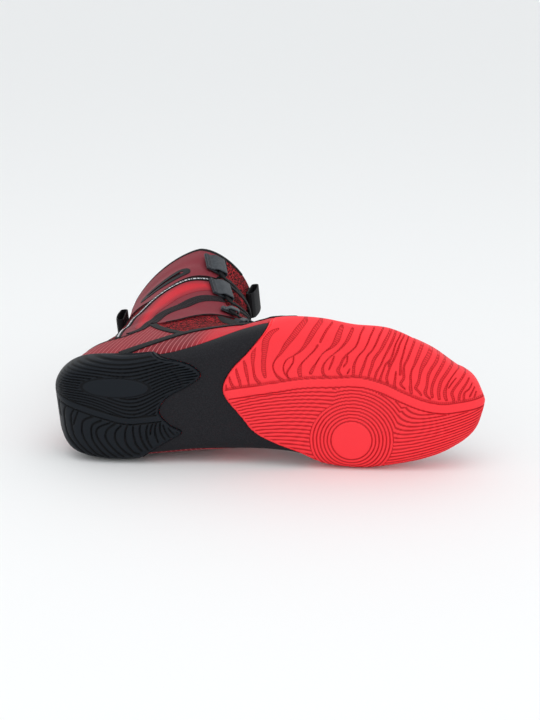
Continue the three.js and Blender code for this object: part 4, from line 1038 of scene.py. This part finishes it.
# Lace tabs, laces and pull loops
TAB_FOOT = TOP_OF_PANEL + SIDE_GAP
TAB_HOLE = LACE_T + 4 * FIT
TAB_HEIGHT = TAB_HOLE + 2 * WEBBING
LACE_LIFT = TAB_FOOT + TAB_HEIGHT / 2
LACE_REST = TOP_OF_PANEL + SIDE_GAP + LACE_T / 2


def place_on(row, way, turn=0):
    """Origin on the last, and the directions away from the throat, outward and along the shoe."""
    up, normal = last_frame(row, way)
    away = unit(np.cross(up, normal)) * (-1 if way < 0.5 else 1)
    along = unit(np.cross(away, normal))
    turn = math.radians(turn if way < 0.5 else -turn)
    away, along = away * math.cos(turn) + along * math.sin(turn), along * math.cos(turn) - away * math.sin(turn)
    return last_point(row, way), np.stack([away, normal, along])


def band_loop(path, width, thick, origin, axes, corner=0.5):
    """A strip whose middle follows a path of (away, outward) points, standing across the third axis."""
    path = np.asarray(path)
    run = unit(np.gradient(path, axis=0))
    flat = np.stack([run[:, 1], -run[:, 0]], -1)
    track = np.concatenate([
        origin + path @ axes[:2], flat @ axes[:2],
    ], 1)
    profile = strap_profile(width, thick, -thick / 2, corner=min(corner, thick * 0.45))
    low = profile[-2:]
    r = min(corner, thick * 0.45)
    bevelled = np.array([[low[0][0] + r, low[0][1]], [low[1][0] - r, low[1][1]]])
    profile = np.concatenate([profile[:-2], [[low[0][0], low[0][1] + r]], bevelled, [[low[1][0], low[1][1] + r]]])
    return sweep(track, profile)


def arc(centre, radius, start, stop, steps=10):
    a = np.linspace(start, stop, steps + 1)
    return np.asarray(centre) + radius * np.stack([np.cos(a), np.sin(a)], -1)


def tab_path(size):
    half = TAB_LOOP * (1 + size) / 4
    radius = (TAB_HEIGHT - WEBBING) / 2
    middle = TAB_FOOT + TAB_HEIGHT / 2
    low, high = middle - radius, middle + radius
    tail = TAB_TAIL * size + half
    loop = arc((-half + radius + WEBBING / 2, middle), radius, -math.pi / 2, -3 * math.pi / 2, 12)
    first = np.stack([np.linspace(tail, loop[0][0], 10), np.full(10, low)], -1)
    drop = np.linspace(0, 1, 10)
    over_x = loop[-1][0] + (tail - 0.5 - loop[-1][0]) * drop
    over_z = high - (high - low - WEBBING * 0.96) * np.clip((drop - 0.45) / 0.3, 0, 1) ** 2 * (
        3 - 2 * np.clip((drop - 0.45) / 0.3, 0, 1))
    return np.concatenate([first[:-1], loop, np.stack([over_x, over_z], -1)[1:]]), tail, low


def make_tabs():
    for side_name in ("outer", "inner"):
        for index, (row, way, width, size, turn) in enumerate(STATIONS):
            origin, axes = place_on(row, way if side_name == "outer" else 1 - way, turn)
            path, tail, low = tab_path(size)
            strip_mesh = merged([band_loop(path, width, WEBBING, origin, axes)])
            name = f"lace_tab_{side_name}_{index + 1}"
            piece(f"webbing_{name}", strip_mesh, WEBBING_GREY, "webbing", name)
            seams = []
            for away in (tail - 1.6, tail - 2.8):
                count = int((width - 1) / 1.5)
                for k in range(count):
                    along = (k - (count - 1) / 2) * 1.5
                    at = origin + axes[0] * away + axes[1] * (low + WEBBING * 1.46) + axes[2] * along
                    track = np.concatenate([at + axes[2] * np.array([[-0.5], [0], [0.5]]), np.tile(axes[1], (3, 1))], 1)
                    seams.append(sweep(track, strap_profile(0.35, 0.22, 0, corner=0.1, steps=2)))
            piece(f"seam_{name}", merged(seams), THREAD, "webbing")


def through_tab(row, way, half, turn=0):
    origin, axes = place_on(row, way, turn)
    ends = [origin + axes[1] * LACE_LIFT + axes[2] * along for along in (-half, half)]
    return sorted(ends, key=lambda p: p[2])


def lace_track(start):
    points, normals = [], []
    for index, (row, way, width, _, tab_turn) in enumerate(STATIONS):
        sign = 1 if (index + start) % 2 == 0 else -1
        half = width * 0.5 + LACE_W * 0.6
        normal = last_frame(row, sign * way)[1]
        for end in through_tab(row, way if sign > 0 else 1 - way, half, tab_turn):
            points.append(end)
            normals.append(normal)
        if index == len(STATIONS) - 1:
            break
        next_row, next_way = STATIONS[index + 1][:2]
        steps = 4 + index // 2
        for step in range(1, steps):
            share = step / steps
            up = row + (next_row - row) * (0.32 + 0.36 * share)
            turn = sign * (way - (way + next_way) * share)
            lift = LACE_REST + (0.55 if start else 0.0) * math.sin(math.pi * share)
            points.append(skin(np.array(up), np.array(turn), lift, False))
            normals.append(last_frame(up, turn)[1])
    return np.concatenate([np.array(points), np.array(normals)], 1)


def make_laces():
    row, way, width = STATIONS[0][:3]
    half = (width + LACE_W) / 2
    left, right = (through_tab(row, w, half)[0] for w in (way, 1 - way))
    ways = [share * way for share in (0.6, 0.2, -0.2, -0.6)]
    bar = [left] + [skin(np.array(row - 0.7), np.array(w), LACE_REST, False) for w in ways] + [right]
    bar_normals = [last_frame(row - 0.7, w)[1] for w in [way, *ways, -way]]
    tracks = [lace_track(0), lace_track(1), np.concatenate([np.array(bar), np.array(bar_normals)], 1)]
    profile = strap_profile(LACE_W, LACE_T, -LACE_T / 2, corner=0.5)
    parts = [sweep(even(spline(track, 8), 0.9), profile) for track in tracks]
    piece("flat_lace", merged(parts), LACE, "lace", "laces", angle=60)


def pull_path():
    r = PULL_D / 2 - WEBBING / 2
    far = PULL_L - PULL_D
    first = arc((0, PULL_D / 2), r, math.pi / 2 + 1.2, 3 * math.pi / 2, 8)
    low = np.stack([np.linspace(0, far, 12), np.full(12, PULL_D / 2 - r)], -1)
    end = arc((far, PULL_D / 2), r, -math.pi / 2, math.pi / 2, 12)
    high = np.stack([np.linspace(far, 0, 12), np.full(12, PULL_D / 2 + r)], -1)
    high[:, 1] += 0.9 * np.sin(np.linspace(0, math.pi, 12))
    return np.concatenate([first[:-1], low[:-1], end[:-1], high, first[:1]])


def make_pulls():
    for name, row, way, offset in (
        ("heel_pull", COLLAR - 1.1, 0.5, TOP_OF_PANEL + 2 * FIT),
        ("tongue_pull", COLLAR - 0.9, 0.0, -WALL),
    ):
        up, normal = last_frame(row, way)
        origin = skin(np.array(row), np.array(way), offset, False)
        axes = np.stack([up, normal, np.cross(up, normal)])
        me = merged([band_loop(pull_path(), PULL_W, WEBBING, origin, axes)])
        piece(f"woven_{name}", me, TAPE, "tape", name)


# Materials, with patterns in the shoe's millimetres
def srgb(r, g, b):
    return tuple(c / 255 / 12.92 if c / 255 <= 0.04045 else ((c / 255 + 0.055) / 1.055) ** 2.4 for c in (r, g, b))


class Shader:
    def __init__(self, name, rough, spec=0.5):
        self.material = bpy.data.materials.new(name)
        self.material.use_nodes = True
        self.nodes = self.material.node_tree.nodes
        self.bsdf = self.nodes["Principled BSDF"]
        self.put("Roughness", rough)
        self.put("Specular IOR Level", spec)
        self.shoe = self.attribute("shoe")

    def wire(self, value, socket):
        if isinstance(value, bpy.types.NodeSocket):
            self.material.node_tree.links.new(value, socket)
        else:
            socket.default_value = value

    def put(self, name, value):
        self.wire(value, self.bsdf.inputs[name])

    def node(self, kind, **settings):
        n = self.nodes.new(kind)
        for key, value in settings.items():
            setattr(n, key, value)
        return n

    def attribute(self, name):
        return self.node("ShaderNodeAttribute", attribute_name=name).outputs["Vector"]

    def parts(self, vector):
        n = self.node("ShaderNodeSeparateXYZ")
        self.wire(vector, n.inputs[0])
        return n.outputs

    def op(self, kind, a, b=0.0, c=0.0):
        n = self.node("ShaderNodeMath", operation=kind)
        for value, socket in zip((a, b, c), n.inputs):
            self.wire(value, socket)
        return n.outputs[0]

    def dot(self, direction):
        n = self.node("ShaderNodeVectorMath", operation="DOT_PRODUCT")
        self.wire(self.shoe, n.inputs[0])
        n.inputs[1].default_value = direction
        return n.outputs["Value"]

    def stretched(self, scale):
        n = self.node("ShaderNodeVectorMath", operation="MULTIPLY")
        self.wire(self.shoe, n.inputs[0])
        n.inputs[1].default_value = scale
        return n.outputs[0]

    def noise(self, scale, detail=2.0, vector=None):
        n = self.node("ShaderNodeTexNoise")
        n.inputs["Scale"].default_value = scale
        n.inputs["Detail"].default_value = detail
        self.wire(self.shoe if vector is None else vector, n.inputs["Vector"])
        return n.outputs["Fac"]

    def cells(self, scale, vector=None):
        n = self.node("ShaderNodeTexVoronoi")
        n.inputs["Scale"].default_value = scale
        self.wire(self.shoe if vector is None else vector, n.inputs["Vector"])
        return n.outputs

    def lines(self, along, pitch, width, soft=0.12, wobble=0.0):
        """1 on lines of a width that repeat each pitch of a coordinate."""
        if wobble:
            along = self.op("ADD", along, self.op("MULTIPLY", self.noise(0.12), wobble))
        t = self.op("PINGPONG", along, pitch / 2)
        return self.ramp(self.op("SUBTRACT", width / 2, t), -soft, soft)

    def ramp(self, value, low, high):
        n = self.node("ShaderNodeMapRange", interpolation_type="SMOOTHSTEP")
        self.wire(value, n.inputs["Value"])
        n.inputs["From Min"].default_value = low
        n.inputs["From Max"].default_value = high
        return n.outputs["Result"]

    def mix(self, share, a, b):
        n = self.node("ShaderNodeMix", data_type="RGBA")
        self.wire(share, n.inputs["Factor"])
        for value, socket in ((a, n.inputs[6]), (b, n.inputs[7])):
            self.wire(value if isinstance(value, bpy.types.NodeSocket) else (*value, 1), socket)
        return n.outputs[2]

    def colour(self, value):
        self.put("Base Color", value if isinstance(value, bpy.types.NodeSocket) else (*value, 1))

    def bump(self, height, millimetres, strength=1.0):
        n = self.node("ShaderNodeBump")
        n.inputs["Strength"].default_value = strength
        n.inputs["Distance"].default_value = millimetres / 1000
        self.wire(height, n.inputs["Height"])
        self.put("Normal", n.outputs[0])


def knit():
    s = Shader("knit_red_black", 0.9, 0.1)
    cell = s.cells(1.05, s.stretched((1.0, 1.0, 1.35)))
    red = s.ramp(s.parts(cell["Color"])[0], 0.55, 0.67)
    shade = s.mix(s.noise(0.05, 1.0), srgb(150, 30, 38), srgb(200, 48, 54))
    s.colour(s.mix(red, srgb(18, 14, 17), shade))
    rows = s.op("SINE", s.op("MULTIPLY", s.dot((0.35, 0.0, 0.94)), 5.2))
    height = s.op("ADD", s.op("MULTIPLY", rows, 0.3), s.op("SUBTRACT", 1.0, cell["Distance"]))
    s.bump(height, 0.45, 0.8)
    return s.material


def ripstop(name, ground, grid, pin, pin_colour, lean, bright=None, around=None):
    """A thin coated cloth: a fine grid, and pinstripes across the shoe's length where pin isn't 0."""
    s = Shader(name, 0.6, 0.15)
    base = s.mix(s.noise(0.03, 3.0), tuple(c * 0.86 for c in ground), tuple(c * 1.12 for c in ground))
    warp = s.lines(s.dot(lean), 1.15, 0.3, 0.12)
    weft = s.lines(s.dot((-lean[2], 0.0, lean[0])), 1.15, 0.3, 0.12)
    mesh = s.op("MAXIMUM", warp, weft)
    base = s.mix(s.op("MULTIPLY", mesh, 0.55), base, grid)
    if pin:
        run = s.dot((1.0, 0.0, -0.14))
        if around:
            x, y = s.parts(s.shoe)[:2]
            turn = s.op("ARCTAN2", s.op("ABSOLUTE", y), s.op("SUBTRACT", around[0], x))
            run = s.op("SUBTRACT", s.op("MULTIPLY", turn, around[1]), s.op("MULTIPLY", s.parts(s.shoe)[2], 0.14))
        stripe = s.lines(run, pin, 0.42, 0.14)
        base = s.mix(s.op("MULTIPLY", stripe, 0.75), base, pin_colour)
    if bright:
        x = s.parts(s.shoe)[0]
        base = s.mix(s.ramp(s.op("ADD", x, s.op("MULTIPLY", s.noise(0.05), 6.0)), 97, 116), base, bright)
    s.colour(base)
    s.bump(s.op("ADD", mesh, s.op("MULTIPLY", s.noise(0.9, 3.0), 0.8)), 0.14, 0.6)
    return s.material


def wing_cloth(name, ground, dark, light, pitch=1.6, edge=None):
    """The wings' cloth, with fine lines along its length, and where edge is given a painted glow that brightens it from
    the edge colour at its rim.
    """
    s = Shader(name, 0.6, 0.15)
    along = s.op("ADD", s.dot((-0.55, 0.0, 0.84)), s.op("MULTIPLY", s.noise(0.02, 0.0), 9.0))
    fine = s.lines(along, pitch, 0.6, 0.25)
    cross = s.lines(s.dot((0.84, 0.0, 0.55)), 1.3, 0.35, 0.2)
    base = s.mix(s.noise(0.03, 2.0), tuple(c * 0.85 for c in ground), tuple(c * 1.15 for c in ground))
    # Painted glow on the field's bright red: the cloth goes from the edge colour at the rim to its brighter ground over
    # about 5 mm inside.
    if edge:
        base = s.mix(s.ramp(s.parts(s.attribute("relief"))[0], 0.3, 5.5), edge, base)
    base = s.mix(s.op("MULTIPLY", fine, 0.7), base, dark)
    base = s.mix(s.op("MULTIPLY", cross, 0.22), base, light)
    s.colour(base)
    s.bump(s.op("ADD", fine, s.op("MULTIPLY", cross, 0.5)), 0.12, 0.5)
    return s.material


def rubber(name, top, low, lit, rough, hatch_pitch, spec):
    """Rubber with painted shade down in its tread, less of it on the tread's hatched floors except in their fine ribs.
    """
    s = Shader(name, rough, spec)
    depth, along, hatch = s.parts(s.attribute("relief"))
    cloud = s.noise(0.012, 2.0)
    base = s.mix(cloud, top, lit)
    ribs = s.op("MULTIPLY", s.lines(along, hatch_pitch, hatch_pitch * 0.5, 0.2), hatch)
    # Painted shade: the deeper the tread, the nearer the colour goes to low; hatched floors get less of it, their ribs
    # more.
    groove_shade = s.ramp(depth, 0.08, 0.62)
    floor = s.op("SUBTRACT", 1.0, s.op("MULTIPLY", hatch, s.op("SUBTRACT", 0.85, s.op("MULTIPLY", ribs, 0.6))))
    s.colour(s.mix(s.op("MULTIPLY", groove_shade, floor), base, low))
    grain = s.noise(1.4, 3.0)
    s.bump(s.op("SUBTRACT", s.op("MULTIPLY", grain, 0.16), s.op("MULTIPLY", ribs, 0.8)), 0.5, 0.7)
    return s.material


def cloth(name, light, dark, rough, scale, bump, spec=0.3, weave=0.0):
    """A plain cloth or tape with a fine speckle, and a rib where weave isn't 0."""
    s = Shader(name, rough, spec)
    spot = s.ramp(s.noise(scale, 2.0), 0.35, 0.7)
    s.colour(s.mix(spot, dark, light))
    height = spot
    if weave:
        ribs = s.lines(s.dot((0.62, 0.45, 0.64)), weave, weave * 0.5, weave * 0.25)
        height = s.op("ADD", ribs, s.op("MULTIPLY", spot, 0.5))
    s.bump(height, bump, 0.6)
    return s.material


KNIT = knit()
SATIN = cloth("coated_black", srgb(36, 36, 40), srgb(24, 24, 28), 0.6, 1.6, 0.05, spec=0.14)
STRIPED = ripstop("pinstriped_ripstop", srgb(134, 30, 40), srgb(96, 20, 30), 3.3, srgb(214, 136, 138),
                  (0.95, 0.0, -0.3), bright=srgb(205, 40, 52))
COUNTER = ripstop("counter_ripstop", srgb(150, 36, 46), srgb(112, 28, 38), 3.3, srgb(206, 120, 124),
                  (0.95, 0.0, -0.3), around=(60.0, 42.0))
MAUVE = wing_cloth("mauve_ripstop", srgb(138, 46, 57), srgb(74, 28, 38), srgb(166, 84, 92))
# The bright field's last colour is its rim, from which a painted glow brightens it towards its middle.
BRIGHT = wing_cloth("bright_ripstop", srgb(212, 38, 52), srgb(160, 28, 40), srgb(224, 70, 78), 1.4, srgb(140, 42, 53))
TAPE = cloth("black_tape", srgb(19, 19, 22), srgb(9, 9, 12), 0.68, 1.4, 0.1, spec=0.18, weave=0.9)
ROUGH_TAPE = cloth("speckled_tape", srgb(58, 48, 52), srgb(17, 15, 18), 0.8, 2.2, 0.14, spec=0.15)
WEBBING_GREY = cloth("rubber_webbing", srgb(58, 64, 70), srgb(44, 49, 55), 0.5, 0.5, 0.05)
WEBBING_DARK = cloth("dark_rubber", srgb(30, 30, 34), srgb(20, 20, 23), 0.6, 0.6, 0.04, spec=0.14)
LACE = cloth("flat_lace", srgb(22, 22, 26), srgb(10, 10, 12), 0.72, 1.3, 0.16, spec=0.2, weave=0.8)
THREAD = cloth("thread", srgb(62, 60, 64), srgb(44, 43, 47), 0.7, 2.0, 0.02)
WHITE = cloth("white_print", srgb(226, 226, 229), srgb(206, 206, 210), 0.6, 2.0, 0.02)
# A black sheet that paints the shade inside the wings' slots.
SLOT_SHADE_SHEET = cloth("painted_slot_shade", srgb(12, 12, 14), srgb(8, 8, 10), 0.9, 2.0, 0.02)
LINING = cloth("brushed_lining", srgb(44, 44, 48), srgb(30, 30, 34), 0.9, 1.2, 0.1)
# Each rubber's second colour, low, is the painted shade down in its tread.
RED_RUBBER = rubber("red_rubber", srgb(246, 46, 56), srgb(190, 18, 30), srgb(252, 56, 65), 0.6, 1.3, 0.28)
BLACK_RUBBER = rubber("black_rubber", srgb(18, 23, 29), srgb(4, 5, 8), srgb(22, 27, 33), 0.5, 1.3, 0.14)

# Camera and light
CAM_TARGET = Vector((-0.0008, -0.1073, 0.0447))
CAM_AZIMUTH, CAM_ELEVATION, CAM_DISTANCE = 5.0, 17.0, 1.1


def add_camera():
    data = bpy.data.cameras.new("camera")
    cam = bpy.data.objects.new("camera", data)
    bpy.context.scene.collection.objects.link(cam)
    az, el = math.radians(CAM_AZIMUTH), math.radians(CAM_ELEVATION)
    back = Vector((math.sin(az) * math.cos(el), -math.cos(az) * math.cos(el), math.sin(el)))
    cam.location = CAM_TARGET + back * CAM_DISTANCE
    cam.rotation_mode = "QUATERNION"
    cam.rotation_quaternion = (-back).to_track_quat("-Z", "Y")
    data.sensor_width = 36
    data.sensor_fit = "AUTO"
    data.lens = 82.8
    data.shift_x, data.shift_y = 0.0042, 0.0458
    data.clip_start, data.clip_end = 0.05, 20
    bpy.context.scene.camera = cam


def area(name, place, aim, size, power, colour=(1, 1, 1)):
    data = bpy.data.lights.new(name, "AREA")
    data.shape = "RECTANGLE"
    data.size, data.size_y = size
    data.energy = power
    data.color = colour
    o = bpy.data.objects.new(name, data)
    bpy.context.scene.collection.objects.link(o)
    o.location = place
    o.rotation_mode = "QUATERNION"
    o.rotation_quaternion = (Vector(aim) - Vector(place)).to_track_quat("-Z", "Y")


def plain(name, colour, rough, spec=0.5):
    m = bpy.data.materials.new(name)
    m.use_nodes = True
    b = m.node_tree.nodes["Principled BSDF"]
    b.inputs["Base Color"].default_value = (*colour, 1)
    b.inputs["Roughness"].default_value = rough
    b.inputs["Specular IOR Level"].default_value = spec
    return m


def studio():
    me = bpy.data.meshes.new("floor")
    s = 6.0
    me.from_pydata([(-s, -s, 0), (s, -s, 0), (s, s, 0), (-s, s, 0)], [], [(0, 1, 2, 3)])
    floor = bpy.data.objects.new("floor", me)
    bpy.context.scene.collection.objects.link(floor)
    me.materials.append(plain("floor_paint", srgb(242, 243, 243), 0.7, 0.1))
    world = bpy.data.worlds.new("world")
    bpy.context.scene.world = world
    world.use_nodes = True
    world.node_tree.nodes["Background"].inputs[0].default_value = (0.975, 0.988, 1.0, 1)
    world.node_tree.nodes["Background"].inputs[1].default_value = WORLD_LIGHT
    area("key", (0.1, -0.5, 1.3), (0, 0, 0), (1.2, 1.2), KEY_LIGHT)
    area("front", (0.2, -1.6, 0.5), (0, 0, 0.05), (1.6, 1.0), FRONT_LIGHT)


WORLD_LIGHT, KEY_LIGHT, FRONT_LIGHT = 0.94, 3.6, 2.2
bpy.context.scene.view_settings.view_transform = "Standard"

# The shoe, piece by piece
SKIN = surface_tree(body(0.0))
frame["nodes"]["insole"].data.materials.clear()
frame["nodes"]["insole"].data.materials.append(LINING)
make_upper()
make_panels()
make_tapes()
make_collar()
make_tabs()
make_laces()
make_pulls()
make_soles()
studio()
add_camera()
